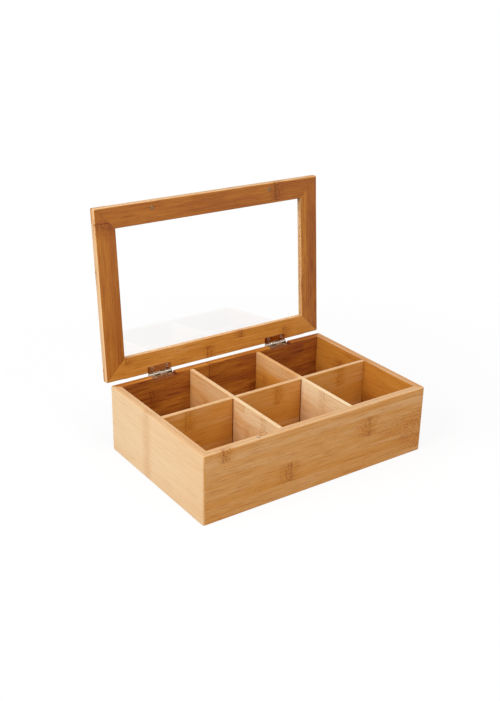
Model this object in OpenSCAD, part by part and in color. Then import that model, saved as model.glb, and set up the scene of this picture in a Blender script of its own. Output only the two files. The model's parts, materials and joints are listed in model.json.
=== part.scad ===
// Bamboo box with six compartments for tea bags, and a hinged lid with a clear window.
// Millimetres. +X is to the right, +Y to the back and +Z up. The origin is the middle of
// the box's underside. The lid is drawn open, resting on the stops of its two hinges.
// Every lid part is drawn on the closed lid and then turned about the hinge pins by as_open().

/* [Box] */
// Outside width of the box, left to right
box_w = 300; // [260:5:360]
// Outside depth of the box, front to back
box_d = 196; // [160:2:240]
// Height of the box walls
box_h = 80.5; // [60:0.5:110]
// Thickness of the four walls
wall_t = 9.5; // [8.5:0.5:12]
// Radius of the upright outside corners
corner_r = 2.5; // [1:0.5:4]
// Radius that softens the top edges of the walls
wall_edge_r = 1; // [0.5:0.25:1.5]
// Thickness of the bottom panel
bottom_t = 4.5; // [3:0.5:6]
// Width of the rebate under the walls that holds the bottom panel
rebate_w = 5; // [4:0.5:6]

/* [Dividers] */
// Thickness of the dividers
divider_t = 5; // [4:0.5:6]
// Depth of the grooves in the walls that hold the ends of the dividers
housing_depth = 3; // [2:0.5:4]
// How far the tops of the dividers lie below the tops of the walls
divider_drop = 0.3; // [0:0.1:3]
// Radius that softens the top edges of the dividers
divider_edge_r = 0.75; // [0.25:0.25:1.5]

/* [Lid] */
// Thickness of the lid frame
lid_t = 8; // [8:0.5:12]
// Width of the four lid rails
rail_w = 25; // [20:1:32]
// How far the lid stands out past the box at each side
side_overhang = 2; // [0.5:0.5:4]
// How far the lid stands out past the front, as a lip for a finger
front_overhang = 3.5; // [1:0.5:6]
// How far the lid stands out past the back
back_overhang = 1; // [0:0.1:1]
// Gap between the walls and the closed lid
lid_gap = 0.7; // [0.5:0.1:1]
// Radius of the lower outside edge of the lid
lid_low_edge_r = 1.75; // [1:0.25:2.5]
// Radius of the other long edges of the lid rails
lid_edge_r = 0.75; // [0.25:0.25:1]
// Radius of the corners of the lid, seen from above
lid_corner_r = 1.5; // [0.5:0.25:2.5]
// Angle between the open lid and the closed lid, set by the hinge stops
open_angle = 94.5; // [90:0.5:100]

/* [Window] */
// Thickness of the clear pane
pane_t = 2; // [1.5:0.25:3]
// Depth of the pane below the top face of the lid
pane_recess = 3; // [2:0.5:3.5]
// How far the pane reaches into the rails
pane_bite = 5; // [3:0.5:7]

/* [Corner keys] */
// Length of a corner key along each edge of the lid
key_leg = 17; // [12:1:20]
// Thickness of a corner key
key_t = 3; // [2:0.5:3]
// Wood left above a high key or below a low key
key_skin = 0.7; // [0.5:0.1:1]

/* [Hinges] */
// Length of a hinge
hinge_l = 30.5; // [26:0.5:36]
// Distance from the end of the box to the middle of a hinge
hinge_inset = 66.5; // [40:0.5:80]
// Outside diameter of the knuckles
knuckle_d = 3.5; // [3.5:0.1:3.8]
// Diameter of the hinge pins
pin_d = 1.6; // [1.4:0.1:1.8]
// Thickness of the hinge leaves
leaf_t = 0.8; // [0.6:0.1:0.9]
// Distance from the pin to the far edge of a leaf
leaf_reach = 9.7; // [9:0.1:11]
// Distance from the back of the box to the pins
pin_setback = 3.2; // [3.2:0.1:4]

/* [Fittings] */
// Distance from the end of the box to the catch magnets
magnet_inset = 70; // [30:1:100]
// Diameter of the catch magnets
magnet_d = 5; // [4:0.5:6]
// Thickness of the catch magnets
magnet_t = 2.5; // [2:0.5:3]
// Diameter of the hinge screws' heads
screw_head_d = 4.2; // [3.8:0.1:4.4]
// Diameter of the hinge screws' shanks
screw_d = 2; // [1.6:0.1:2.2]
// Length of the hinge screws
screw_l = 6.5; // [5:0.5:7]

/* [Hidden] */

$fn = 48;
over = 1;                                   // how far a cutter runs past a face

// Clearances
panel_play = 0.4;                           // bottom panel in its rebate, in all
housing_play = 0.1;                         // divider in its groove, in all
pane_play = 0.5;                            // pane edge to the bottom of its groove
notch_play = 0.5;                           // hinge end to the end of its notch
knuckle_gap = 0.25;                         // between neighbouring knuckles
pin_play = 0.04;                            // pin to the bore of a turning knuckle
stop_gap = 0.15;                            // hinge heel to leaf at the open stop
magnet_sink = 0.1;                          // magnet face below the wood

// Box
inner_w = box_w - 2 * wall_t;
inner_d = box_d - 2 * wall_t;
panel_w = box_w - 2 * (wall_t - rebate_w) - panel_play;
panel_d = box_d - 2 * (wall_t - rebate_w) - panel_play;
divider_top = box_h - divider_drop;
divider_h = divider_top - bottom_t;
cross_x = (inner_w + divider_t) / 6;        // cross dividers part the width in thirds
housing_w = divider_t + housing_play;

// Lid, as it lies closed
lid_w = box_w + 2 * side_overhang;
lid_d = box_d + front_overhang + back_overhang;
lid_y = (back_overhang - front_overhang) / 2;   // middle of the lid, front to back
lid_z = box_h + lid_gap;
pane_z = lid_z + lid_t - pane_recess - pane_t;
groove_depth = pane_bite + pane_play;
window_w = lid_w - 2 * rail_w;
window_d = lid_d - 2 * rail_w;
high_key_z = lid_t - key_skin - key_t;      // above the lid's underside
low_key_z = key_skin;

// Hinges
knuckle_r = knuckle_d / 2;
pin_r = pin_d / 2;
pin_y = box_d / 2 + pin_setback;
pin_z = lid_z - knuckle_r;                  // the lid leaf lies flat under the lid
notch_floor = pin_z - knuckle_r;            // the box leaf lies flat in its notch
notch_l = hinge_l + 2 * notch_play;
hinge_x = box_w / 2 - hinge_inset;
knuckle_count = 4;
knuckle_pitch = (hinge_l + knuckle_gap) / knuckle_count;
knuckle_l = knuckle_pitch - knuckle_gap;
heel_reach = 1.65;                          // from the pin to the face of a stop heel
heel_h = 0.9;                               // height of a stop heel
screw_reach = 6.9;                          // from the pin to the screws
screw_spread = 9.8;                         // from the middle of the hinge to a screw
leaf_corner_r = 1;
box_knuckles = [1, 3];                      // counted from the left
lid_knuckles = [0, 2];

// Fittings
magnet_x = box_w / 2 - magnet_inset;
magnet_y = -box_d / 2 + wall_t / 2;
screw_cone_h = (screw_head_d - screw_d) / 2;
drive_w = 0.5;                              // width of the cross in a screw head
drive_l = 2.2;
drive_depth = 0.7;

wall_colour = "burlywood";
divider_colour = "navajowhite";
lid_colour = "peru";
key_colour = "saddlebrown";
steel_colour = "silver";
magnet_colour = "dimgray";

// ---- Helpers ----

// Turns the closed lid's parts up about the hinge pins
module as_open()
    translate([0, pin_y, pin_z])
        rotate([-open_angle, 0, 0])
            translate([0, -pin_y, -pin_z])
                children();

// Rectangle centred on the origin with round corners
module round_rect(w, d, r) {
    square([w - 2 * r, d], center = true);
    square([w, d - 2 * r], center = true);
    for (x = [-1, 1], y = [-1, 1])
        translate([x * (w / 2 - r), y * (d / 2 - r)])
            circle(r);
}

// A square corner piece with one round corner, for cutting from a profile: the corner
// lies at the origin and the piece runs to +x and +y
module edge_waste(r)
    difference() {
        translate([-over, -over])
            square(r + over);
        translate([r, r])
            circle(r);
    }

// Plan of one side of a frame of four mitred pieces, the side along the front. w and d
// are the frame's outside sizes, b is the breadth of a piece and r its corner radius
module mitred_plan(w, d, b, r)
    intersection() {
        round_rect(w, d, r);
        polygon([
            [-w / 2 - over, -d / 2 - over], [w / 2 + over, -d / 2 - over],
            [w / 2 - b, -d / 2 + b], [-w / 2 + b, -d / 2 + b]
        ]);
    }

// Extrudes a profile of [inward distance, height] along X, its outside face at y = -d / 2
module along_front(w, d)
    translate([-w / 2 - over, -d / 2, 0])
        rotate([90, 0, 90])
            linear_extrude(w + 2 * over)
                children();

// ---- Box walls ----

// Upright section of a wall, outside face at x = 0
module wall_profile()
    difference() {
        square([wall_t, box_h]);
        translate([wall_t - rebate_w, -over])
            square([rebate_w + over, bottom_t + over]);
        edge_waste(wall_edge_r);
        translate([0, box_h])
            mirror([0, 1])
                edge_waste(wall_edge_r);
        translate([wall_t, box_h])
            rotate(180)
                edge_waste(wall_edge_r);
    }

// One mitred wall as it stands at the front of a box of size w by d
module wall(w, d)
    intersection() {
        along_front(w, d)
            wall_profile();
        linear_extrude(box_h)
            mitred_plan(w, d, wall_t, corner_r);
    }

// Groove in a front wall for the end of a divider
module housing(d)
    translate([-housing_w / 2, -d / 2 + wall_t - housing_depth, bottom_t - over])
        cube([housing_w, housing_depth + over, box_h]);

module magnet_pocket(z)
    translate([0, 0, z])
        cylinder(h = magnet_t + magnet_sink + over, d = magnet_d);

module front_wall()
    color(wall_colour)
        difference() {
            wall(box_w, box_d);
            for (side = [-1, 1]) {
                translate([side * cross_x, 0, 0])
                    housing(box_d);
                translate([side * magnet_x, magnet_y, 0])
                    magnet_pocket(box_h - magnet_t - magnet_sink);
            }
        }

module back_wall()
    color(wall_colour)
        difference() {
            rotate(180)
                wall(box_w, box_d);
            for (side = [-1, 1]) {
                translate([side * cross_x, 0, 0])
                    rotate(180)
                        housing(box_d);
                hinge_notch(side);
                at_box_screws(side)
                    screw_body();
            }
        }

module left_wall()
    color(wall_colour)
        rotate(-90)
            difference() {
                wall(box_d, box_w);
                housing(box_w);
            }

module right_wall()
    color(wall_colour)
        rotate(90)
            difference() {
                wall(box_d, box_w);
                housing(box_w);
            }

module bottom_panel()
    color(wall_colour)
        translate([-panel_w / 2, -panel_d / 2, 0])
            cube([panel_w, panel_d, bottom_t]);

// ---- Dividers, halved over each other ----

// A divider along X, its lower edge at z = 0, its ends in the grooves of the walls
module divider_board(span) {
    length = span + 2 * housing_depth;
    translate([-length / 2, 0, 0])
        rotate([90, 0, 90])
            linear_extrude(length)
                difference() {
                    translate([-divider_t / 2, 0])
                        square([divider_t, divider_h]);
                    for (side = [0, 1])
                        mirror([side, 0])
                            translate([-divider_t / 2, divider_h])
                                mirror([0, 1])
                                    edge_waste(divider_edge_r);
                }
}

// Slot as wide as a divider, from half height up or down
module halving_slot(z)
    translate([-housing_w / 2, -divider_t / 2 - over, z])
        cube([housing_w, divider_t + 2 * over, divider_h / 2 + over]);

module long_divider()
    color(divider_colour)
        translate([0, 0, bottom_t])
            difference() {
                divider_board(inner_w);
                for (side = [-1, 1])
                    translate([side * cross_x, 0, 0])
                        halving_slot(divider_h / 2);
            }

module cross_divider(side)
    color(divider_colour)
        translate([side * cross_x, 0, bottom_t])
            rotate(90)
                difference() {
                    divider_board(inner_d);
                    halving_slot(-over);
                }

module left_cross_divider() cross_divider(-1);

module right_cross_divider() cross_divider(1);

// ---- Lid frame ----

// Section of a board as thick as the lid, softened along its outside edge at x = 0
module lid_edge_profile(b)
    difference() {
        square([b, lid_t]);
        edge_waste(lid_low_edge_r);
        translate([0, lid_t])
            mirror([0, 1])
                edge_waste(lid_edge_r);
    }

// Section of a lid rail, outside edge at x = 0 and underside at y = 0
module rail_profile()
    difference() {
        lid_edge_profile(rail_w);
        translate([rail_w - groove_depth, pane_z - lid_z])
            square([groove_depth + over, pane_t]);
        translate([rail_w, 0])
            mirror([1, 0])
                edge_waste(lid_edge_r);
        translate([rail_w, lid_t])
            rotate(180)
                edge_waste(lid_edge_r);
    }

// One mitred rail as it lies at the front of a frame of size w by d
module rail(w, d)
    intersection() {
        along_front(w, d)
            rail_profile();
        linear_extrude(lid_t)
            mitred_plan(w, d, rail_w, lid_corner_r);
    }

// Puts a rail on the closed lid: turn is 0 for the front, 90 for the right side and so on
module on_lid(turn)
    translate([0, lid_y, lid_z])
        rotate(turn)
            children();

// Slot sawn across the front left mitre of a lid of size w by d
module key_slot(w, d, z)
    translate([-w / 2, -d / 2, z])
        linear_extrude(key_t)
            polygon([[-over, -over], [key_leg + over, -over], [-over, key_leg + over]]);

// Loose key that fills the slot, planed flush with the edges of the lid
module corner_key(w, d, z)
    intersection() {
        key_slot(w, d, z);
        linear_extrude(lid_t)
            round_rect(w, d, lid_corner_r);
        along_front(w, d)
            lid_edge_profile(d / 2);
        rotate(-90)
            along_front(d, w)
                lid_edge_profile(w / 2);
    }

// The two left corners have high keys and the two right corners have low ones
module key_slots() {
    on_lid(0)
        key_slot(lid_w, lid_d, high_key_z);
    on_lid(-90)
        key_slot(lid_d, lid_w, high_key_z);
    on_lid(90)
        key_slot(lid_d, lid_w, low_key_z);
    on_lid(180)
        key_slot(lid_w, lid_d, low_key_z);
}

module lid_front_rail()
    color(lid_colour)
        as_open()
            difference() {
                on_lid(0)
                    rail(lid_w, lid_d);
                key_slots();
                for (side = [-1, 1])
                    translate([side * magnet_x, magnet_y, 0])
                        magnet_pocket(lid_z - over);
            }

module lid_back_rail()
    color(lid_colour)
        as_open()
            difference() {
                on_lid(180)
                    rail(lid_w, lid_d);
                key_slots();
                for (side = [-1, 1])
                    at_lid_screws(side)
                        screw_body();
            }

module lid_side_rail(turn)
    color(lid_colour)
        as_open()
            difference() {
                on_lid(turn)
                    rail(lid_d, lid_w);
                key_slots();
            }

module lid_left_rail() lid_side_rail(-90);

module lid_right_rail() lid_side_rail(90);

module lid_pane()
    color("lightcyan", 0.4)
        as_open()
            translate([-window_w / 2 - pane_bite, lid_y - window_d / 2 - pane_bite, pane_z])
                cube([window_w + 2 * pane_bite, window_d + 2 * pane_bite, pane_t]);

module lid_high_keys()
    color(key_colour)
        as_open() {
            on_lid(0)
                corner_key(lid_w, lid_d, high_key_z);
            on_lid(-90)
                corner_key(lid_d, lid_w, high_key_z);
        }

module lid_low_keys()
    color(key_colour)
        as_open() {
            on_lid(90)
                corner_key(lid_d, lid_w, low_key_z);
            on_lid(180)
                corner_key(lid_w, lid_d, low_key_z);
        }

// ---- Stop hinges ----
// A leaf is drawn with the pin along X through the origin, its plate flat below the pin
// and running to -Y. The lid leaf is the same leaf mirrored about the plane that halves
// the open angle, with its knuckles in the box leaf's gaps.

module hinge_notch(side)
    translate([side * hinge_x - notch_l / 2, box_d / 2 - wall_t - over, notch_floor])
        cube([notch_l, wall_t + 2 * over, box_h]);

// X of the left end of knuckle i
function knuckle_x(i) = -hinge_l / 2 + i * knuckle_pitch;

// Plate with two round corners, cut away in front of the other leaf's knuckles
module leaf_plate(gaps)
    translate([0, 0, -knuckle_r])
        linear_extrude(leaf_t)
            difference() {
                translate([0, -leaf_reach / 2])
                    square([hinge_l, leaf_reach], center = true);
                for (side = [0, 1])
                    mirror([side, 0])
                        translate([-hinge_l / 2, -leaf_reach])
                            edge_waste(leaf_corner_r);
                for (i = gaps)
                    translate([knuckle_x(i) - knuckle_gap, -heel_reach - stop_gap])
                        square([knuckle_l + 2 * knuckle_gap, heel_reach + stop_gap + over]);
            }

// Heel that meets the edge of the other leaf when the lid is open
module stop_heel()
    rotate([-open_angle, 0, 0])
        translate([0, -heel_reach, knuckle_r - heel_h])
            cube([knuckle_l, heel_reach, heel_h]);

module hinge_leaf(own, gaps, bore_r)
    difference() {
        union() {
            leaf_plate(gaps);
            for (i = own)
                translate([knuckle_x(i), 0, 0]) {
                    rotate([0, 90, 0])
                        cylinder(h = knuckle_l, r = knuckle_r);
                    stop_heel();
                }
        }
        translate([-hinge_l, 0, 0])
            rotate([0, 90, 0])
                cylinder(h = 2 * hinge_l, r = bore_r);
        at_leaf_screws()
            screw_body();
    }

module at_leaf_screws()
    for (side = [-1, 1])
        translate([side * screw_spread, -screw_reach, leaf_t - knuckle_r])
            children();

// Places a leaf of the hinge on the given side, as the box leaf or as the lid leaf
module at_box_leaf(side)
    translate([side * hinge_x, pin_y, pin_z])
        children();

module at_lid_leaf(side)
    at_box_leaf(side)
        rotate([-open_angle, 0, 0])
            mirror([0, 0, 1])
                children();

module at_box_screws(side)
    at_box_leaf(side)
        at_leaf_screws()
            children();

// Lid screws, on the closed lid
module at_lid_screws(side)
    at_box_leaf(side)
        mirror([0, 0, 1])
            at_leaf_screws()
                children();

module left_hinge_box_leaf()
    color(steel_colour)
        at_box_leaf(-1)
            hinge_leaf(box_knuckles, lid_knuckles, pin_r);

module right_hinge_box_leaf()
    color(steel_colour)
        at_box_leaf(1)
            hinge_leaf(box_knuckles, lid_knuckles, pin_r);

module left_hinge_lid_leaf()
    color(steel_colour)
        at_lid_leaf(-1)
            hinge_leaf(lid_knuckles, box_knuckles, pin_r + pin_play);

module right_hinge_lid_leaf()
    color(steel_colour)
        at_lid_leaf(1)
            hinge_leaf(lid_knuckles, box_knuckles, pin_r + pin_play);

module hinge_pin(side)
    color(steel_colour)
        at_box_leaf(side)
            translate([-hinge_l / 2, 0, 0])
                rotate([0, 90, 0])
                    cylinder(h = hinge_l, r = pin_r);

module left_hinge_pin() hinge_pin(-1);

module right_hinge_pin() hinge_pin(1);

// ---- Screws and magnets ----

// Countersunk screw, the face of its head at z = 0 and its point downwards
module screw_body() {
    translate([0, 0, -screw_cone_h])
        cylinder(h = screw_cone_h, r1 = screw_d / 2, r2 = screw_head_d / 2);
    translate([0, 0, -screw_l + screw_d])
        cylinder(h = screw_l - screw_d - screw_cone_h, d = screw_d);
    translate([0, 0, -screw_l])
        cylinder(h = screw_d, r1 = 0.2, r2 = screw_d / 2);
}

module screw()
    difference() {
        screw_body();
        for (turn = [0, 90])
            rotate(turn)
                translate([-drive_l / 2, -drive_w / 2, -drive_depth])
                    cube([drive_l, drive_w, drive_depth + over]);
    }

module box_hinge_screws()
    color(steel_colour)
        for (side = [-1, 1])
            at_box_screws(side)
                screw();

module lid_hinge_screws()
    color(steel_colour)
        as_open()
            for (side = [-1, 1])
                at_lid_screws(side)
                    screw();

module box_magnets()
    color(magnet_colour)
        for (side = [-1, 1])
            translate([side * magnet_x, magnet_y, box_h - magnet_t - magnet_sink])
                cylinder(h = magnet_t, d = magnet_d);

module lid_magnets()
    color(magnet_colour)
        as_open()
            for (side = [-1, 1])
                translate([side * magnet_x, magnet_y, lid_z + magnet_sink])
                    cylinder(h = magnet_t, d = magnet_d);

// ---- What is drawn ----

front_wall();
back_wall();
left_wall();
right_wall();
bottom_panel();
long_divider();
left_cross_divider();
right_cross_divider();
lid_front_rail();
lid_back_rail();
lid_left_rail();
lid_right_rail();
lid_pane();
lid_high_keys();
lid_low_keys();
left_hinge_box_leaf();
left_hinge_lid_leaf();
left_hinge_pin();
right_hinge_box_leaf();
right_hinge_lid_leaf();
right_hinge_pin();
box_hinge_screws();
lid_hinge_screws();
box_magnets();
lid_magnets();
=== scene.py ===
import json
import math

import bmesh
import bpy
import numpy as np
from bpy.props import FloatProperty, FloatVectorProperty, PointerProperty
from mathutils import Matrix, Vector


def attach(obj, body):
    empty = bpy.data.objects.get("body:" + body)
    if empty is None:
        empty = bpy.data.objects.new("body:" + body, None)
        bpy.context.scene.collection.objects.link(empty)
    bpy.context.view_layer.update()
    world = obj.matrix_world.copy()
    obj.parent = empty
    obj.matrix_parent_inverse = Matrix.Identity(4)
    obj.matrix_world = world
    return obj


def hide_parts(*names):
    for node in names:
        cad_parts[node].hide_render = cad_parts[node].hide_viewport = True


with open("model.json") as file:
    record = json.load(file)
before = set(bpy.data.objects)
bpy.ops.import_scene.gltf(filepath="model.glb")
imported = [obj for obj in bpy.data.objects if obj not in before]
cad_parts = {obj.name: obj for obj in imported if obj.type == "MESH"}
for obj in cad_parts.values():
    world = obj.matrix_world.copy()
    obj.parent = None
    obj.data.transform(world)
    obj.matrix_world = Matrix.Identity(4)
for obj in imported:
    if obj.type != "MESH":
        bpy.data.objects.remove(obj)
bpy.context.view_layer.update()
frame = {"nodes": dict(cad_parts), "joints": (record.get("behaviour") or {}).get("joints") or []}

bl_info = {
    "name": "Tea Bag Box",
    "version": (1, 0, 0),
    "blender": (4, 5, 0),
    "location": "3D View > Sidebar > Tea Box",
    "description": "Bamboo box with six compartments and a hinged lid with a clear window",
    "category": "Object",
}

MM = 0.001
JOINT = frame["joints"][0]
HINGE = np.array(JOINT["pos_m"], float)
OPEN_ANGLE = math.radians(JOINT["range_deg"][1])


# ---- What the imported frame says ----

def turn_about_hinge(angle):
    """4x4 matrix that turns by angle about the line of the hinge pins."""
    there = Matrix.Translation(HINGE)
    return np.array(there @ Matrix.Rotation(angle, 4, "X") @ there.inverted())


LID_UP = turn_about_hinge(-OPEN_ANGLE)
LID_DOWN = turn_about_hinge(OPEN_ANGLE)


def moved(matrix, points):
    """Points of any array shape (..., 3) after a 4x4 matrix."""
    return points @ matrix[:3, :3].T + matrix[:3, 3]


def node_box(*nodes, closed=False):
    """Lowest and highest corners of some CAD nodes together, with the lid shut if closed."""
    co = np.concatenate([
        np.array([v.co for v in frame["nodes"][n].data.vertices], float) for n in nodes
    ])
    co = moved(LID_DOWN, co) if closed else co
    return co.min(0), co.max(0)


BOX_LO, BOX_HI = node_box("front_wall", "back_wall", "left_wall", "right_wall")
BOX_W, BOX_D, BOX_H = BOX_HI - BOX_LO
FRONT_LO, FRONT_HI = node_box("front_wall")
WALL_T = FRONT_HI[1] - FRONT_LO[1]
PANEL_LO, PANEL_HI = node_box("bottom_panel")
DIVIDER_LO, DIVIDER_HI = node_box("long_divider")
CROSS_LO, CROSS_HI = node_box("right_cross_divider")
CROSS_X = (CROSS_LO[0] + CROSS_HI[0]) / 2
DIVIDER_T = DIVIDER_HI[1] - DIVIDER_LO[1]
# Radius of the walls' inner top edge, all of it above the dividers
INNER_EDGE = (BOX_HI[2] - DIVIDER_HI[2]) * 0.9
# Depth of the grooves that hold the dividers
HOUSING = (DIVIDER_HI[0] - DIVIDER_LO[0] - BOX_W) / 2 + WALL_T
LID_NODES = ("lid_front_rail", "lid_back_rail", "lid_left_rail", "lid_right_rail")
LID_LO, LID_HI = node_box(*LID_NODES, closed=True)
LID_W, LID_D, LID_T = LID_HI - LID_LO
LID_Y = (LID_LO[1] + LID_HI[1]) / 2
RAIL_HI = node_box("lid_front_rail", closed=True)[1]
RAIL_W = RAIL_HI[1] - LID_LO[1]
PANE_LO, PANE_HI = node_box("lid_pane", closed=True)
PIN_LO, PIN_HI = node_box("right_hinge_pin")
PIN_R = (PIN_HI[1] - PIN_LO[1]) / 2
HINGE_X = (PIN_LO[0] + PIN_HI[0]) / 2
HINGE_L = PIN_HI[0] - PIN_LO[0]
LEAF_LO = node_box("right_hinge_box_leaf")[0]
KNUCKLE_R = HINGE[2] - LEAF_LO[2]
LEAF_REACH = HINGE[1] - LEAF_LO[1]
MAGNET_LO, MAGNET_HI = node_box("box_magnets")
MAGNET_R = (MAGNET_HI[1] - MAGNET_LO[1]) / 2
MAGNET_X = MAGNET_HI[0] - MAGNET_R
MAGNET_Y = (MAGNET_HI[1] + MAGNET_LO[1]) / 2
MAGNET_T = MAGNET_HI[2] - MAGNET_LO[2]
MAGNET_SINK = BOX_H - MAGNET_HI[2]
KEY_NODES = {-1: "lid_high_keys", 1: "lid_low_keys"}
KEY_Z = {side: [node_box(n, closed=True)[i][2] - LID_LO[2] for i in (0, 1)]
         for side, n in KEY_NODES.items()}


# ---- Sizes, colours and light that can be changed ----

def size(name, description, millimetres):
    """A length property in metres, up to 40 mm, given in millimetres."""
    return FloatProperty(name=name, description=description, default=millimetres * MM,
                         min=0, max=40 * MM, precision=5, unit="LENGTH", subtype="DISTANCE")


def colour(name, description, red, green, blue):
    """A colour property, given as it shows on a screen, from 0 to 255."""
    return FloatVectorProperty(name=name, description=description, subtype="COLOR", size=3,
                               min=0, max=1, default=[linear(c) for c in (red, green, blue)])


def linear(value):
    """Linear light of a screen value from 0 to 255."""
    c = value / 255
    return c / 12.92 if c <= 0.04045 else ((c + 0.055) / 1.055) ** 2.4


class TeaBoxSizes(bpy.types.PropertyGroup):
    """Sizes that the frame's boxes don't give."""

    corner: size("Upright corners", "Radius of the box's upright corners", 2.5)
    wall_edge: size("Wall edges", "Radius of the long edges of the walls", 1)
    divider_edge: size("Divider edges", "Radius of the top edges of the dividers", 0.75)
    lid_low_edge: size("Lid's lower edge", "Radius of the outer edge under the lid", 1.75)
    hinge_edge: size("Hinge edges", "Radius of the edges beside the hinges, lid and wall", 0.5)
    lid_edge: size("Lid edges", "Radius of the other edges of the lid rails", 0.75)
    lid_corner: size("Lid corners", "Radius of the lid's corners, from above", 1.5)
    arris: size("Arris", "Softening of the small sharp edges", 0.2)
    joint_line: size("Lid joint line", "Depth of the fine line along a mitre of the lid", 0.14)
    corner_line: size("Box joint line", "Depth of the fine line along a corner of the box", 0.04)
    key_leg: size("Key leg", "Length of a corner key along each edge of the lid", 17)
    strip: size("Strip width", "Width of the strips that the boards are made of", 23.9)
    fit: size("Divider fit", "Gap on each side of a divider in a groove or slot", 0.15)
    leaf_t: size("Leaf thickness", "Thickness of the hinge leaves", 0.8)
    leaf_corner: size("Leaf corners", "Radius of the corners of the hinge leaves", 1)
    heel_reach: size("Heel reach", "From the pin to the face of a stop heel", 1.65)
    stop_gap: size("Stop gap", "Gap from a heel to the leaf it stops", 0.15)
    knuckle_gap: size("Knuckle gap", "Gap between neighbouring knuckles", 0.95)
    screw_spread: size("Screw spread", "From the middle of a hinge to a screw", 9.8)
    screw_reach: size("Screw reach", "From the pin to the screws", 6.9)
    screw_head: size("Screw head", "Diameter of a screw head", 4.2)
    screw_shank: size("Screw shank", "Diameter of a screw over its thread", 2)
    screw_length: size("Screw length", "Length of a screw", 6.5)


class TeaBoxColours(bpy.types.PropertyGroup):
    """Colours of the bamboo, the metal, the window and the floor."""

    pale: colour("Pale bamboo", "The palest strips", 255, 238, 200)
    golden: colour("Golden bamboo", "The usual strips", 219, 154, 62)
    deep: colour("Deep bamboo", "The deepest strips", 171, 102, 33)
    darkest: colour("Dark bamboo", "The darkest streaks of the deepest strips", 116, 41, 49)
    fibre: colour("Fibre", "What dark fibres and node marks leave of the wood's colour",
                  178, 132, 76)
    # cut colours the end grain, and also stands for painted shade in the seams and the hinge
    # notches
    cut: colour("Cut ends", "Ends of the fibres and the raw wood of the hinge notches",
                104, 40, 12)
    steel: colour("Steel", "Nickel on the knuckles and pins", 208, 197, 182)
    # plate is a brown tint that paints the reflection of the wood on the hinge plates and the
    # pins
    plate: colour("Plate", "Tarnished nickel on the hinge plates", 186, 142, 104)
    screw: colour("Screw", "Tarnished nickel on the screws", 206, 184, 168)
    # The magnets' warm tints paint the reflection of the wood round them
    magnet: colour("Magnet", "Nickel on the magnets of the box", 224, 188, 152)
    lid_magnet: colour("Lid magnet", "Tarnished nickel on the magnets of the lid",
                       148, 112, 78)
    pane: colour("Pane", "Tint of the clear pane", 255, 255, 255)
    floor: colour("Floor", "The floor", 236, 236, 236)


class TeaBoxLight(bpy.types.PropertyGroup):
    """Power of the lamps and level of the sky."""

    key: FloatProperty(name="Key lamp", description="Power of the large soft lamp at the left",
                       default=27, min=0, unit="POWER")
    front: FloatProperty(name="Front lamp", description="Power of the soft lamp at the front",
                         default=15.3, min=0, unit="POWER")
    sky: FloatProperty(name="Sky", description="Level of the light from all round",
                       default=0.5, min=0)


# ---- Surfaces ----

def ring_faces(n, m):
    """Four-sided faces that join each of n loops of m points to the next."""
    i, j = np.meshgrid(np.arange(n - 1), np.arange(m), indexing="ij")
    k = (j + 1) % m
    quads = np.stack([i * m + j, (i + 1) * m + j, (i + 1) * m + k, i * m + k], -1)
    return quads.reshape(-1, 4).tolist()


def tube(loops):
    """Closed surface through a run of loops: vertex (i, j) is point j of loop i. Each loop is
    joined to the next, and the first and last are closed by flat caps."""
    n, m = loops.shape[:2]
    caps = [list(range(m)), list(range((n - 1) * m, n * m))[::-1]]
    return loops.reshape(-1, 3), ring_faces(n, m) + caps


def around(radius, angle, height):
    """Points (radius cos angle, radius sin angle, height) about Z, for arrays of any shape."""
    r, a, h = np.broadcast_arrays(radius, angle, height)
    return np.stack([r * np.cos(a), r * np.sin(a), h], -1)


def circle(segments):
    """Angles of a full turn in even steps."""
    return np.linspace(0, 2 * math.pi, segments, endpoint=False)


def together(*surfaces):
    """Several (vertices, faces) surfaces as one."""
    verts, faces, start = [], [], 0
    for v, f in surfaces:
        verts.append(v)
        faces += [[start + q for q in face] for face in f]
        start += len(v)
    return np.concatenate(verts), faces


def soft_section(corners, out, radii, inset=0, steps=4):
    """Outlines with right-angled corners rounded, many stations at once. corners is (n, k, 2),
    out (k, 2) the direction of the edge that leaves each corner, radii (n, k), and inset (n,)
    pulls the whole outline in. On a corner's arc, which starts r before it and ends r after it,
    a point is centre - r * out * cos(t) + r * into * sin(t) for t from 0 to 90 degrees."""
    out = np.array(out, float)
    into = np.roll(out, 1, axis=0)
    normal = np.stack([-(out + into)[:, 1], (out + into)[:, 0]], -1)
    normal /= (1 + (out * into).sum(-1))[:, None]
    inset = np.broadcast_to(np.asarray(inset, float), corners.shape[:1])
    corners = corners + inset[:, None, None] * normal
    r = radii[:, :, None, None]
    t = np.linspace(0, math.pi / 2, steps + 1)[None, None, :, None]
    o, a = out[None, :, None], into[None, :, None]
    points = corners[:, :, None] + r * (o - a) - r * o * np.cos(t) + r * a * np.sin(t)
    return points.reshape(len(corners), -1, 2)


def stack(*rows):
    """Corner rows of (u, v), each a number or one value per station, as one (n, k, 2) array."""
    n = max(np.size(x) for row in rows for x in row)
    return np.stack([
        np.stack([np.broadcast_to(np.asarray(x, float), (n,)) for x in row], -1)
        for row in rows
    ], 1)


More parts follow.
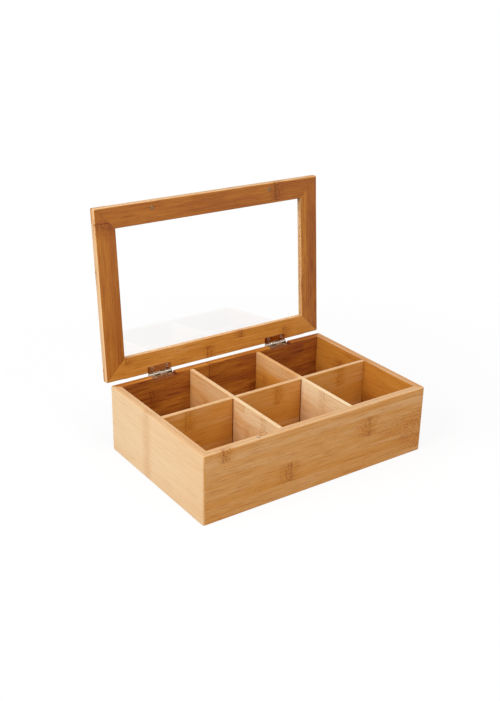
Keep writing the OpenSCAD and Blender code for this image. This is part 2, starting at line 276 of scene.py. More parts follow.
def side_plan(straight, length, breadth, corner, arc_steps=7):
    """Stations along one side of a mitred frame. The outer line runs round the frame's corner
    by an eighth of a circle at each end, and straight between them; the inner line is straight
    and ends on the mitres. A station's inner point lies square across from its outer one, and
    only closer to an end than 2.5 breadths it slants towards the mitre. Gives the outer and
    inner points, measured from the frame's corner, and the distance along the side."""
    bend = np.concatenate([[0, 0.12], np.linspace(0.25, 1, arc_steps - 1)])
    angle = math.pi * (1.25 + 0.25 * bend)
    left = corner * np.stack([1 + np.cos(angle), 1 + np.sin(angle)], -1)
    along = np.concatenate([corner * bend, straight, length - corner * bend[::-1]])
    right = left[::-1] * [-1, 1] + [length, 0]
    middle = np.stack([straight, np.zeros(len(straight))], -1)
    outer = np.concatenate([left, middle, right])
    reach = 2.5 * breadth
    to_end = np.minimum(along, length - along)
    slant = np.maximum(1 - to_end / reach, 0) * breadth
    inner = np.stack([along + slant * np.sign(length / 2 - along),
                      np.full(len(along), breadth)], -1)
    return outer, inner, along


def side_surface(section, outer, inner, length, depth, breadth, turn, low=(0, 0, 0)):
    """Carries a section of (distance inwards, height) along the stations of side_plan: a point
    at u lies u / breadth of the way from the station's outer point to its inner one. The side
    stands at the front of a frame of length by depth and is turned by turn degrees."""
    u = section[..., 0:1] / breadth
    plan = outer[:, None] + (inner - outer)[:, None] * u - [length / 2, depth / 2]
    points = np.concatenate([plan, section[..., 1:2]], -1)
    spin = np.array(Matrix.Rotation(math.radians(turn), 4, "Z"))
    return tube(moved(spin, points) + np.array(low))


def straight_board(x, section, turn=0, shift=(0, 0, 0)):
    """Carries a section of (y, z) along X, one outline per station, then turns the board about
    Z and moves it."""
    along = np.broadcast_to(np.asarray(x, float)[:, None, None], section.shape[:2] + (1,))
    spin = np.array(Matrix.Rotation(math.radians(turn), 4, "Z"))
    return tube(moved(spin, np.concatenate([along, section], -1)) + np.array(shift))


def lathe(profile, segments=48, centre=(0, 0, 0), axis="Z"):
    """Turns a profile of (radius, height) about an axis: the point at angle a is
    (r cos a, r sin a, h). Points of radius 0 close the ends."""
    profile = np.array(profile, float)
    points = around(profile[:, :1], circle(segments), profile[:, 1:])
    if axis == "X":
        points = points[..., [2, 0, 1]]
    return tube(points + np.array(centre))


def slot_stations(low, high, cuts, chamfer):
    """Stations from low to high for a board with slots: at each end of a cut (start, end) there
    is one a chamfer outside it and there are two on its line. Gives the stations and, for each,
    its state: 0 full, 1 full but softened, 2 inside the slot."""
    x, state = [low], [0]
    for start, end in cuts:
        x += [start - chamfer, start, start, end, end, end + chamfer]
        state += [0, 1, 2, 2, 1, 0]
    return np.array(x + [high]), np.array(state + [0])


# ---- Pieces ----

def make_piece(name, surface, body, nodes, material, cutters=(), lid=False, sharp=32):
    """Puts a surface into a mesh object: joins its doubles, cuts it, turns it up with the open
    lid, gives it smooth faces weighted by their area, and rides it on its body."""
    if any(n not in frame["nodes"] for n in nodes):
        raise RuntimeError(f"{name}: the frame lacks one of {nodes}")
    obj = mesh_object(name, surface)
    for i, cutter in enumerate(cutters):
        other = mesh_object(f"{name}_cutter_{i}", cutter)
        cut = obj.modifiers.new("cut", "BOOLEAN")
        cut.operation, cut.solver, cut.object = "DIFFERENCE", "EXACT", other
        settle(obj)
        spent = other.data
        bpy.data.objects.remove(other)
        bpy.data.meshes.remove(spent)
    if lid:
        obj.data.transform(Matrix(LID_UP.tolist()))
    obj.data.shade_smooth()
    obj.data.set_sharp_from_angle(angle=math.radians(sharp))
    even = obj.modifiers.new("even", "WEIGHTED_NORMAL")
    even.keep_sharp, even.weight = True, 100
    settle(obj)
    obj.data.materials.clear()
    obj.data.materials.append(material)
    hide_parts(*nodes)
    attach(obj, body)
    return obj


def mesh_object(name, surface):
    """Object at the origin with a clean closed mesh from (vertices, faces)."""
    verts, faces = surface
    mesh = bpy.data.meshes.new(name)
    mesh.from_pydata(verts.tolist(), [], faces)
    bm = bmesh.new()
    bm.from_mesh(mesh)
    bmesh.ops.remove_doubles(bm, verts=bm.verts, dist=2e-6)
    bmesh.ops.dissolve_degenerate(bm, edges=bm.edges, dist=1e-6)
    bmesh.ops.recalc_face_normals(bm, faces=bm.faces)
    bm.to_mesh(mesh)
    bm.free()
    obj = bpy.data.objects.new(name, mesh)
    bpy.context.scene.collection.objects.link(obj)
    return obj


def settle(obj):
    """Applies the modifiers of an object to its mesh."""
    shown = bpy.context.evaluated_depsgraph_get()
    shown.update()
    done = bpy.data.meshes.new_from_object(obj.evaluated_get(shown))
    old = obj.data
    obj.modifiers.clear()
    obj.data = done
    bpy.data.meshes.remove(old)
    done.name = obj.name


# ---- Materials ----

class Tree:
    """Short words for writing a node tree. A value given to a node is a number, a tuple or
    another node's output."""

    def __init__(self, tree):
        self.tree = tree

    def node(self, kind, **settings):
        made = self.tree.nodes.new(kind)
        for key, value in settings.items():
            setattr(made, key, value)
        return made

    def put(self, socket, value):
        if isinstance(value, bpy.types.NodeSocket):
            self.tree.links.new(value, socket)
        else:
            socket.default_value = value

    def math(self, operation, *values, clamp=False):
        made = self.node("ShaderNodeMath", operation=operation, use_clamp=clamp)
        for socket, value in zip(made.inputs, values):
            self.put(socket, value)
        return made.outputs[0]

    def gap(self, a, b):
        """How far a and b are apart."""
        return self.math("ABSOLUTE", self.math("SUBTRACT", a, b))

    def sum(self, first, *terms):
        """first plus each (value, weight) of terms."""
        for value, weight in terms:
            first = self.math("MULTIPLY_ADD", value, weight, first)
        return first

    def step(self, value, low, high, to_low=0.0, to_high=1.0):
        """Smooth step of value from low to high."""
        made = self.node("ShaderNodeMapRange", interpolation_type="SMOOTHSTEP")
        for socket, v in zip(made.inputs, (value, low, high, to_low, to_high)):
            self.put(socket, v)
        return made.outputs[0]

    def mix(self, factor, a, b, blend="MIX"):
        made = self.node("ShaderNodeMix", data_type="RGBA", blend_type=blend)
        for socket, v in zip((made.inputs[0], made.inputs[6], made.inputs[7]), (factor, a, b)):
            self.put(socket, v)
        return made.outputs[2]

    def ramp(self, factor, *colours):
        """Even run of colours from 0 to 1."""
        made = self.node("ShaderNodeValToRGB")
        stops = made.color_ramp.elements
        while len(stops) < len(colours):
            stops.new(0.5)
        for i, c in enumerate(colours):
            stops[i].position = i / (len(colours) - 1)
            stops[i].color = (*c, 1)
        self.put(made.inputs[0], factor)
        return made.outputs[0]

    def scale(self, vector, by):
        made = self.node("ShaderNodeVectorMath", operation="MULTIPLY")
        self.put(made.inputs[0], vector)
        self.put(made.inputs[1], by)
        return made.outputs[0]

    def noise(self, vector, detail=2.0, roughness=0.5, distortion=0.0):
        made = self.node("ShaderNodeTexNoise")
        self.put(made.inputs["Vector"], vector)
        self.put(made.inputs["Scale"], 1.0)
        self.put(made.inputs["Detail"], detail)
        self.put(made.inputs["Roughness"], roughness)
        self.put(made.inputs["Distortion"], distortion)
        return made.outputs["Fac"]

    def random(self, x, y, z):
        made = self.node("ShaderNodeTexWhiteNoise", noise_dimensions="3D")
        self.put(made.inputs["Vector"], self.vector(x, y, z))
        return made.outputs["Value"]

    def vector(self, x, y, z):
        made = self.node("ShaderNodeCombineXYZ")
        for socket, v in zip(made.inputs, (x, y, z)):
            self.put(socket, v)
        return made.outputs[0]

    def split(self, vector):
        made = self.node("ShaderNodeSeparateXYZ")
        self.put(made.inputs[0], vector)
        return list(made.outputs)

    def length(self, vector):
        made = self.node("ShaderNodeVectorMath", operation="LENGTH")
        self.put(made.inputs[0], vector)
        return made.outputs["Value"]

    def mix_shader(self, factor, a, b):
        made = self.node("ShaderNodeMixShader")
        for socket, v in zip(made.inputs, (factor, a, b)):
            self.put(socket, v)
        return made.outputs[0]

    def bump(self, shader, height, strength, distance):
        """Fine relief on a shader: height 1 stands distance millimetres high."""
        made = self.node("ShaderNodeBump")
        made.inputs["Strength"].default_value = strength
        made.inputs["Distance"].default_value = distance * MM
        self.put(made.inputs["Height"], height)
        self.put(shader.inputs["Normal"], made.outputs[0])

    def seen(self):
        """1 for what is looked at, straight, in metal or through the pane, and 0 for light."""
        path = self.node("ShaderNodeLightPath").outputs
        straight = self.math("MAXIMUM", path["Is Camera Ray"], path["Is Glossy Ray"])
        return self.math("MAXIMUM", straight, path["Is Transmission Ray"])

    def surface(self, shader):
        """Makes a shader's output the surface of the material."""
        self.put(self.tree.nodes["Material Output"].inputs["Surface"], shader)

    def object_place(self, matrix=None, facing=False):
        """Object coordinates in millimetres, or the way that the surface faces, after a 4x4
        matrix in metres. A matrix that mirrors is a turn after a scale with its third part
        negative."""
        m = Matrix(matrix) if matrix is not None else Matrix.Identity(4)
        side = 1 if m.determinant() > 0 else -1
        grow = 1 if facing else 1 / MM
        made = self.node("ShaderNodeMapping", vector_type="POINT")
        made.inputs["Location"].default_value = (0, 0, 0) if facing else m.translation / MM
        made.inputs["Rotation"].default_value = (m @ Matrix.Diagonal((1, 1, side, 1))).to_euler()
        made.inputs["Scale"].default_value = (grow, grow, side * grow)
        coords = self.node("ShaderNodeTexCoord")
        self.put(made.inputs["Vector"], coords.outputs["Normal" if facing else "Object"])
        return made.outputs[0]


def new_group(name, inputs, outputs):
    """Node group with number sockets and one vector socket, Grain. Gives the tree's writer,
    the inputs by name and the output node."""
    tree = bpy.data.node_groups.new(name, "ShaderNodeTree")
    for socket in inputs:
        tree.interface.new_socket(socket, in_out="INPUT", socket_type=(
            "NodeSocketVector" if socket == "Grain" else "NodeSocketFloat"))
    for socket in outputs:
        tree.interface.new_socket(socket, in_out="OUTPUT", socket_type="NodeSocketFloat")
    t = Tree(tree)
    source = t.node("NodeGroupInput").outputs
    return t, {s: source[s] for s in inputs}, t.node("NodeGroupOutput")


def grain_group():
    """The body of laminated bamboo. Along is X, the strips lie side by side in Y and the
    layers in Z, in millimetres. Each strip gets its own tone and its own stretch of fibre."""
    name = "bamboo_grain"
    if name in bpy.data.node_groups:
        return bpy.data.node_groups[name]
    t, given, result = new_group(
        name, ["Grain", "Seed", "Shift", "Strip", "Layer", "Skin"],
        ["Strip tone", "Inner", "Broad", "Streak", "Fine", "Dash", "Fibre", "Mottle", "Joint"])
    along, across, deep = t.split(given["Grain"])

    def to_joint(place, pitch):
        """How far a place, counted in pitches, is from the nearest whole one."""
        part = t.math("FRACT", place)
        return t.math("MULTIPLY", t.math("MINIMUM", part, t.math("SUBTRACT", 1.0, part)), pitch)

    layer_place = t.math("DIVIDE", deep, given["Layer"])
    layer = t.math("FLOOR", layer_place)
    across = t.sum(given["Shift"], (across, 1.0), (layer, 7.3))
    place = t.math("DIVIDE", across, given["Strip"])
    strip = t.math("FLOOR", place)
    tone = t.random(strip, layer, given["Seed"])
    slide = t.math("MULTIPLY", t.random(layer, given["Seed"], strip), 900.0)
    joint = t.math("MINIMUM", to_joint(place, given["Strip"]),
                   to_joint(layer_place, given["Layer"]))
    joint = t.step(joint, 0.05, 0.32, 1.0, 0.0)
    fibre = t.vector(t.math("ADD", along, slide), t.math("MULTIPLY_ADD", strip, 31.7, across),
                     t.math("MULTIPLY_ADD", layer, 17.9, deep))
    broad = t.noise(t.scale(fibre, (0.010, 0.045, 0.045)), 2.0, 0.5, 0.4)
    streak = t.noise(t.scale(fibre, (0.016, 0.32, 0.32)), 3.0, 0.55, 0.25)
    fine = t.noise(t.scale(fibre, (0.022, 1.35, 1.35)), 2.0, 0.6)
    dash = t.noise(t.scale(fibre, (0.16, 2.5, 2.5)), 1.0, 0.5)
    long_fibre = t.step(t.noise(t.scale(fibre, (0.035, 0.85, 0.85)), 1.0, 0.5), 0.56, 0.72)
    mottle = t.step(t.noise(t.scale(fibre, (0.40, 1.0, 1.0)), 1.0, 0.5, 0.3), 0.5, 0.62)
    inner = t.math("GREATER_THAN", deep, given["Skin"])
    for socket, value in zip(result.inputs, (tone, inner, broad, streak, fine, dash,
                                             long_fibre, mottle, joint)):
        t.put(socket, value)
    return t.tree


def mark_group():
    """One node of the bamboo on one strip: a wavy ridge line across the strip with short dark
    flecks beside it, and a wide soft halo. Place is where it lies along the strip."""
    name = "bamboo_node_mark"
    if name in bpy.data.node_groups:
        return bpy.data.node_groups[name]
    t, given, result = new_group(
        name, ["Grain", "Place", "Across", "Half width", "Deep", "Half depth", "Side",
               "Strength", "Spread"],
        ["Dark", "Halo"])
    along, across, deep = t.split(given["Grain"])
    wander = t.noise(t.scale(given["Grain"], (0.02, 0.22, 0.1)), 2.0, 0.6)
    off = t.math("MULTIPLY_ADD", wander, 2.6, t.math("SUBTRACT", along, given["Place"]))
    off = t.math("MULTIPLY", t.math("SUBTRACT", off, 1.3), given["Side"])
    past = t.math("SUBTRACT", t.gap(across, given["Across"]), given["Half width"])
    near = t.math("LESS_THAN", t.gap(deep, given["Deep"]), given["Half depth"])
    inside = t.math("MULTIPLY", t.step(past, -0.25, 0.1, 1.0, 0.0), near)
    line = t.step(t.math("ABSOLUTE", off), 0.3, 1.6, 1.0, 0.0)
    broken = t.noise(t.scale(given["Grain"], (0.3, 1.5, 1.5)), 2.0, 0.7)
    line = t.math("MULTIPLY", line, t.step(broken, 0.38, 0.6))
    flecks = t.noise(t.scale(given["Grain"], (0.36, 0.72, 0.72)), 2.0, 0.6, 0.6)
    away = t.gap(off, 3.5)
    flecks = t.math("SUBTRACT", flecks, t.step(away, 1.0, 6.0, 0.0, 0.14))
    flecks = t.math("MULTIPLY", t.step(flecks, 0.48, 0.6), t.step(away, 3.0, 6.5, 1.0, 0.0))
    dark = t.math("MULTIPLY", t.math("MAXIMUM", line, t.math("MULTIPLY", flecks, 0.5)), inside)
    dark = t.math("MULTIPLY", dark, given["Strength"])
    halo = t.math("MULTIPLY", t.step(away, 1.0, given["Spread"], 1.0, 0.0), inside)
    t.put(result.inputs[0], dark)
    t.put(result.inputs[1], halo)
    return t.tree


def use(t, group, **values):
    """Adds a group to a tree with these values and gives its outputs by name."""
    made = t.node("ShaderNodeGroup", node_tree=group)
    for key, value in values.items():
        t.put(made.inputs[key.replace("_", " ")], value)
    return made.outputs


def principled(name, **settings):
    """New material with one Principled shader. Gives the material, its tree's writer and the
    shader."""
    made = bpy.data.materials.new(name)
    made.use_nodes = True
    shader = made.node_tree.nodes["Principled BSDF"]
    for key, value in settings.items():
        shader.inputs[key.replace("_", " ")].default_value = value
    return made, Tree(made.node_tree), shader


def bamboo(name, to_grain, tone, seed, shift=0.0, layer=4.75, marks=(), coarse=0.0, skin=50.0,
           fades=(), shaded_seams=(), cuts=(), lively=1.0, calm=0.0, edge=0.3, mottle=0.5):
    """Laminated bamboo under a thin satin varnish. to_grain is the 4x4 matrix that brings a
    point of the piece to (along, across, deep). tone goes from 0, pale, to 1, deep, down to
    the depth skin and below it. A mark is (place along, middle across, deep, half depth, side,
    strength, spread). coarse is how open the grain is. Each of fades is (amount, from, to,
    axis): tone that is added along the board, or across it on axis 1; some fades are the
    strips' own tone and some are painted light or shade. seams are (place along, half width,
    top) of what stands against the board, with painted shade in the corners beside it. cuts
    are (place along, half width, from) of notches, with painted shade on the wood above the
    height from. lively is how strongly the grain shows, calm how much weaker it and the fades
    are below the skin, mottle how strong the flecks round the marks are, and edge how strongly
    painted shade darkens the faces that look across the strips, such as the tops of the walls
    and dividers, and the rounds of the upright corners. The ends of the fibres, where the
    surface faces along them, are darker, in the cut colour."""
    if name in bpy.data.materials:
        return bpy.data.materials[name]
    colours, sizes = bpy.context.scene.tea_colours, bpy.context.scene.tea_sizes
    material, t, shader = principled(name, Specular_IOR_Level=0.3)
    place = t.object_place(to_grain)
    strip = sizes.strip / MM
    g = use(t, grain_group(), Grain=place, Seed=float(seed), Shift=float(shift),
            Strip=strip, Layer=float(layer), Skin=float(skin))
    dark, halo = 0.0, 0.0
    for mark in marks:
        spot, middle, deep, reach, side, strength, spread = (float(v) for v in mark)
        m = use(t, mark_group(), Grain=place, Place=spot, Across=middle, Half_width=strip / 2,
                Deep=deep, Half_depth=reach, Side=side, Strength=strength, Spread=spread)
        dark = t.math("MAXIMUM", dark, m["Dark"])
        halo = t.math("MAXIMUM", halo, m["Halo"])
    outer, inner = tone
    along, across = t.split(place)[:2]
    faded = [(t.step((along, across)[axis], float(a), float(b)), float(amount))
             for amount, a, b, axis in fades]
    parts = (("Strip tone", 0.16), ("Broad", 0.3), ("Streak", 0.36), ("Fine", 0.5))
    wander = t.sum(-0.5 * lively * sum(w for _, w in parts), *faded,
                   *[(g[part], w * lively) for part, w in parts])
    wander = t.math("MULTIPLY", wander, t.sum(1.0, (g["Inner"], -calm)))
    depth = t.sum(outer, (g["Inner"], inner - outer), (halo, 0.05), (wander, 1.0))
    base = t.ramp(t.math("MULTIPLY", depth, 2 / 3), colours.pale, colours.golden, colours.deep,
                  colours.darkest)
    facing = [t.math("ABSOLUTE", f) for f in t.split(t.object_place(to_grain, facing=True))]
    # Painted shade: darker on the faces that look across the strips, such as the tops of walls
    # and dividers, and on the rounds of the upright corners
    edges = t.math("MAXIMUM", t.step(facing[0], 0.1, 0.75), t.step(facing[1], 0.35, 0.85))
    lines = t.sum(0.0, (g["Fibre"], 0.34 * lively + coarse),
                  (t.step(g["Dash"], 0.58, 0.72), 0.26 * lively + coarse))
    lines = t.math("MULTIPLY", lines, t.sum(1.0, (edges, -0.75)))
    fibres = t.sum(0.0, (lines, 1.0), (edges, edge),
                   (t.math("MULTIPLY", g["Mottle"], halo), mottle), (g["Joint"], 0.4))
    for share in (t.math("MINIMUM", fibres, 1.0), dark):
        base = t.mix(share, base, (*colours.fibre, 1), "MULTIPLY")
    # End grain is darker; at the ends of the hinge notches this dark colour also paints their
    # shade
    ends = t.step(facing[0], 0.8, 0.97, 0.0, 0.85)
    # Painted shade: darker in the corners where another board stands against this one
    for spot, half, top in shaded_seams:
        corner = t.gap(t.gap(along, float(spot)), float(half) + 0.2)
        below = t.step(across, top - 1.2, top - 0.7, 1.0, 0.0)
        corner_shade = t.math("MULTIPLY", below, t.step(corner, 0.35, 1.0, 0.72, 0.0))
        ends = t.math("MAXIMUM", ends, corner_shade)
    # Painted shade on the wood inside the hinge notches, above the height given
    for spot, half, low in cuts:
        within = t.step(t.gap(along, float(spot)), half + 0.1, half + 0.4, 0.8, 0.0)
        shaded = t.math("MULTIPLY", within, t.step(across, low - 0.25, low - 0.05))
        ends = t.math("MAXIMUM", ends, shaded)
    base = t.mix(ends, base, (*colours.cut, 1))
    t.put(shader.inputs["Base Color"], base)
    t.put(shader.inputs["Roughness"], t.sum(0.36, (g["Fine"], 0.16), (dark, 0.1)))
    height = t.sum(0.0, (g["Fine"], 0.5), (g["Dash"], 0.35), (g["Joint"], -0.9), (dark, -0.3))
    t.bump(shader, height, strength=0.35, distance=0.06)
    return material


def nickel(name, tint, rough, far=None):
    """Bright nickel plate with a fine brushed grain, small dull patches and painted shade in its
    hollows. far is the tint away from the knuckles, a painted reflection of the brown wood on
    the plates beside the brighter knuckles."""
    if name in bpy.data.materials:
        return bpy.data.materials[name]
    material, t, shader = principled(name, Metallic=1.0)
    place = t.object_place()
    brushed = t.noise(t.scale(place, (0.7, 9.0, 9.0)), 3.0, 0.6)
    dull = t.noise(t.scale(place, (0.45, 0.45, 0.45)), 3.0, 0.6)
    base = (*tint, 1)
    # Painted reflection: away from the knuckles the plates take a brown tint for the wood they
    # face
    if far is not None:
        y, z = t.split(place)[1:]
        from_pin = t.length(t.vector(0.0, t.math("SUBTRACT", y, HINGE[1] / MM),
                                     t.math("SUBTRACT", z, HINGE[2] / MM)))
        past = t.step(from_pin, KNUCKLE_R / MM + 0.1, KNUCKLE_R / MM + 0.9)
        base = t.mix(past, base, (*far, 1))
    base = t.mix(t.step(dull, 0.35, 0.7, 0.0, 0.55), base, (0.42, 0.38, 0.34, 1), "MULTIPLY")
    # Painted shade: darker where ambient occlusion finds a hollow, in the knuckle gaps and screw
    # recesses
    hollow = t.node("ShaderNodeAmbientOcclusion", samples=8, only_local=True)
    hollow.inputs["Distance"].default_value = 1.8 * MM
    hollow_shade = t.step(hollow.outputs["AO"], 0.4, 0.9, 0.95, 0.0)
    t.put(shader.inputs["Base Color"], t.mix(hollow_shade, base, (0.05, 0.03, 0.02, 1)))
    t.put(shader.inputs["Roughness"], t.sum(rough - 0.08, (brushed, 0.06), (dull, 0.1)))
    t.bump(shader, brushed, strength=0.07, distance=0.02)
    return material


def clear_pane(name, tint):
    """Clear acrylic that lets the lamps through, with the faintest smears."""
    if name in bpy.data.materials:
        return bpy.data.materials[name]
    material, t, shader = principled(name, IOR=1.49, Transmission_Weight=1.0,
                                     Specular_IOR_Level=0.3, Base_Color=(*tint, 1))
    place = t.object_place()
    smear = t.noise(t.scale(place, (0.02, 0.035, 0.035)), 4.0, 0.6, 0.8)
    t.put(shader.inputs["Roughness"], t.step(smear, 0.5, 0.8, 0.0, 0.035))
    through = t.node("ShaderNodeBsdfTransparent")
    through.inputs["Color"].default_value = (0.94, 0.94, 0.94, 1)
    t.surface(t.mix_shader(t.node("ShaderNodeLightPath").outputs["Is Shadow Ray"],
                           shader.outputs[0], through.outputs[0]))
    return material


def axes(along, across, deep, middle=(0, 0, 0), first=None):
    """4x4 matrix that brings a point to (along, across, deep), each given as a direction,
    measured from middle. first is applied before it."""
    m = np.eye(4)
    m[:3, :3] = [along, across, deep]
    m[:3, 3] = -m[:3, :3] @ np.array(middle, float)
    return Matrix((m @ first if first is not None else m).tolist())


X, Y, Z = (1, 0, 0), (0, 1, 0), (0, 0, 1)

# The walls' bamboo, in millimetres: where its strips begin and how deep its outer layer is, the
# middles of the strips from the bottom up, and (deep, half depth) of marks on either face
WALL_BAMBOO = {"shift": 6.3, "skin": 0.35}
STRIPS = (5.7, 29.6, 53.5, 77.4)
OUTSIDE, INSIDE = (0, 4.7), (9.5, 4.7)

# The same for the dividers, whose marks go right through: the middles of their upper strips,
# and (from, to, axis) of the fade on their top edge
DIVIDER_BAMBOO = {"shift": 16.2, "layer": 6.0}
DIVIDER_STRIPS = (43.6, 67.5)
ALL_THROUGH = (2, 4)
TOP_EDGE = (79.4, 79.9, 1)


# ---- One operator for each piece or group of like pieces ----

class TEABOX_OT_walls(bpy.types.Operator):
    """The four mitred walls, with the grooves for the dividers and the notches for the hinges"""

    bl_idname = "teabox.walls"
    bl_label = "Walls"

    def execute(self, context):
        s = context.scene.tea_sizes
        groove = DIVIDER_T / 2 + s.fit
        notch = HINGE_L / 2 + 0.5 * MM
        crosses = [(x - groove, x + groove) for x in (-CROSS_X, CROSS_X)]
        notches = [(x - notch, x + notch) for x in (-HINGE_X, HINGE_X)]
        # Where painted shade darkens the hinge notches of the back wall
        shaded = [(x / MM, notch / MM, LEAF_LO[2] / MM) for x in (-HINGE_X, HINGE_X)]
        deep = MAGNET_T + MAGNET_SINK
        pockets = [lathe([(0, -deep), (MAGNET_R, -deep), (MAGNET_R, MM), (0, MM)],
                         centre=(x, MAGNET_Y, BOX_H)) for x in (-MAGNET_X, MAGNET_X)]
        self.wall(s, "front", BOX_W, BOX_D, 0, crosses, [], self.front_look(), pockets)
        self.wall(s, "back", BOX_W, BOX_D, 180, crosses, notches, self.back_look(shaded))
        self.wall(s, "left", BOX_D, BOX_W, -90, [(-groove, groove)], [], self.left_look())
        self.wall(s, "right", BOX_D, BOX_W, 90, [(-groove, groove)], [], self.right_look())
        return {"FINISHED"}

    @staticmethod
    def front_look():
        marks = [(-126, STRIPS[3], *OUTSIDE, 1, 0.7, 15), (-39, STRIPS[1], *OUTSIDE, -1, 0.8, 22),
                 (69, STRIPS[2], *OUTSIDE, -1, 0.7, 25), (150, 17.6, *OUTSIDE, -1, 0.1, 55),
                 (152, 41.5, *OUTSIDE, -1, 0.1, 110), (-75, STRIPS[3], *INSIDE, 1, 1, 15),
                 (90, STRIPS[1], *INSIDE, 1, 1, 15)]
        return bamboo("bamboo_front_wall", axes(X, Z, Y, (0, BOX_LO[1], 0)), (0.46, 0.27), 3,
                      marks=marks, fades=[(-0.06, 65.2, 65.7, 1), (-0.05, 17.9, 17.4, 1)],
                      coarse=0.13, lively=0.5, edge=0.56, **WALL_BAMBOO)

    @staticmethod
    def back_look(shaded):
        marks = [(-23, STRIPS[3], *OUTSIDE, 1, 1, 15), (44, STRIPS[1], *OUTSIDE, -1, 0.8, 12),
                 (-104, STRIPS[2], *OUTSIDE, 1, 0.6, 15), (105, STRIPS[2], *INSIDE, 1, 1, 15),
                 (60, STRIPS[0], *INSIDE, -1, 1, 40), (-60, STRIPS[1], *INSIDE, 1, 1, 15)]
        # The deep inner tone is partly the wood's own and partly painted shade; the fades are
        # painted shade towards the right end and painted light low down
        return bamboo("bamboo_back_wall", axes(X, Z, Y, (0, BOX_HI[1] - WALL_T, 0)), (1.1, 0.86),
                      5, marks=marks, fades=[(0.1, 40, 110, 0), (-0.12, 58, 44, 1)], cuts=shaded,
                      lively=2.2, **WALL_BAMBOO)

    @staticmethod
    def left_look():
        marks = [(14, middle, *OUTSIDE, 1, 0.12, 14) for middle in STRIPS]
        marks += [(60, STRIPS[2], *INSIDE, 1, 1, 15)]
        # The pale tone is partly the strips' own colour and partly painted light on this
        # lamp-facing side; the fade paints the wall paler towards the back, where the key lamp's
        # light falls off
        return bamboo("bamboo_left_wall", axes(Y, Z, X, (BOX_LO[0], 0, 0)), (0.21, 0.22), 9,
                      marks=marks, fades=[(-0.06, -98, 30, 0)], lively=0.35, mottle=0.24,
                      edge=0.56, **WALL_BAMBOO)

    @staticmethod
    def right_look():
        marks = [(40, STRIPS[2], *OUTSIDE, 1, 0.7, 15), (-30, STRIPS[2], *INSIDE, -1, 1, 15),
                 (50, STRIPS[1], *INSIDE, 1, 1, 15)]
        return bamboo("bamboo_right_wall", axes(Y, Z, X, (BOX_HI[0] - WALL_T, 0, 0)),
                      (0.72, 0.41), 14, marks=marks, edge=0.56, **WALL_BAMBOO)

    @staticmethod
    def wall(s, name, length, depth, turn, grooves, notches, look, cutters=()):
        """Wall section: a rebate under the inner side for the bottom panel, rounded long edges.
        Its inner face, as far from the outer one as face and rim say, steps back to reach in a
        groove, up to the top of the dividers, and its top steps down in a notch."""
        cuts = sorted(grooves + notches)
        x, state = slot_stations(-length / 2 + s.corner + MM, length / 2 - s.corner - MM, cuts,
                              s.arris)
        outer, inner, along = side_plan(x + length / 2, length, WALL_T, s.corner)
        ends = (len(along) - len(x)) // 2
        state = np.pad(state, ends)
        middle = along - length / 2
        slack = 2 * s.arris
        grooved = np.array([any(a - slack < m < b + slack for a, b in grooves) for m in middle])
        groove_in, top_in = state * grooved, state * ~grooved
        reach = WALL_T - HOUSING
        face = np.choose(groove_in, [WALL_T, WALL_T - s.arris, reach])
        floor = LEAF_LO[2]
        top = np.choose(top_in, [BOX_H, BOX_H - s.arris, floor])
        level = floor - s.arris
        stop = np.where(top_in == 2, level, DIVIDER_HI[2] + 0.02 * MM)
        rim = np.where(top_in == 2, face, WALL_T)
        panel, panel_gap = PANEL_HI[2], 0.2 * MM
        rebate = PANEL_LO[0] - BOX_LO[0] - panel_gap
        corners = stack((0, 0), (rebate, 0), (rebate, panel), (reach, panel), (face, panel),
                        (face, level), (face, stop), (rim, stop), (rim, top), (reach, top),
                        (0, top), (0, level))
        out = [(1, 0), (0, 1), (1, 0), (1, 0), (0, 1), (0, 1), (1, 0), (0, 1), (-1, 0),
               (-1, 0), (0, -1), (0, -1)]
        radii = np.zeros(corners.shape[:2])
        radii[:, 0] = s.wall_edge
        radii[:, 8] = np.where(top_in == 2, s.arris, INNER_EDGE)
        radii[:, 10] = np.where(top_in == 2, s.arris, s.wall_edge)
        if notches:
            near_end = np.minimum(along, length - along) < 2 * s.corner
            radii[:, 10] = np.where(near_end, s.wall_edge, np.minimum(radii[:, 10], s.hinge_edge))
        inset = np.zeros(len(along))
        inset[[0, -1]] = s.corner_line
        section = soft_section(corners, out, radii, inset)
        make_piece(f"{name}_wall_bamboo",
                   side_surface(section, outer, inner, length, depth, WALL_T, turn),
                   "box", [f"{name}_wall"], look, cutters)


class TEABOX_OT_bottom(bpy.types.Operator):
    """The bottom panel, let into a rebate under the walls"""

    bl_idname = "teabox.bottom"
    bl_label = "Bottom panel"

    def execute(self, context):
        s = context.scene.tea_sizes
        through = (0, 9)
        marks = [(-96, 6, *through, 1, 1, 15), (20, 30, *through, -1, 1, 15),
                 (80, -18, *through, 1, 1, 15), (-30, -66, *through, 1, 1, 15),
                 (110, 78, *through, -1, 1, 15)]
        look = bamboo("bamboo_bottom", axes(X, Y, Z), (0.6, 0.6), 21, 6.0, 4.6, marks)
        make_piece("bottom_panel_bamboo", slab(PANEL_LO, PANEL_HI, s.arris), "box",
                   ["bottom_panel"], look)
        return {"FINISHED"}


def slab(low, high, arris):
    """Flat board between two corners with all its edges softened: its section is carried
    along X, pulled in by arris at both ends."""
    x = np.array([low[0], low[0] + arris, high[0] - arris, high[0]])
    corners = stack((np.full(4, low[1]), low[2]), (high[1], low[2]), (high[1], high[2]),
                    (low[1], high[2]))
    radii = np.full(corners.shape[:2], arris)
    radii[[0, -1]] = arris / 4
    section = soft_section(corners, [(1, 0), (0, 1), (-1, 0), (0, -1)], radii,
                           np.array([arris, 0, 0, arris]) * 0.8, 3)
    return straight_board(x, section)


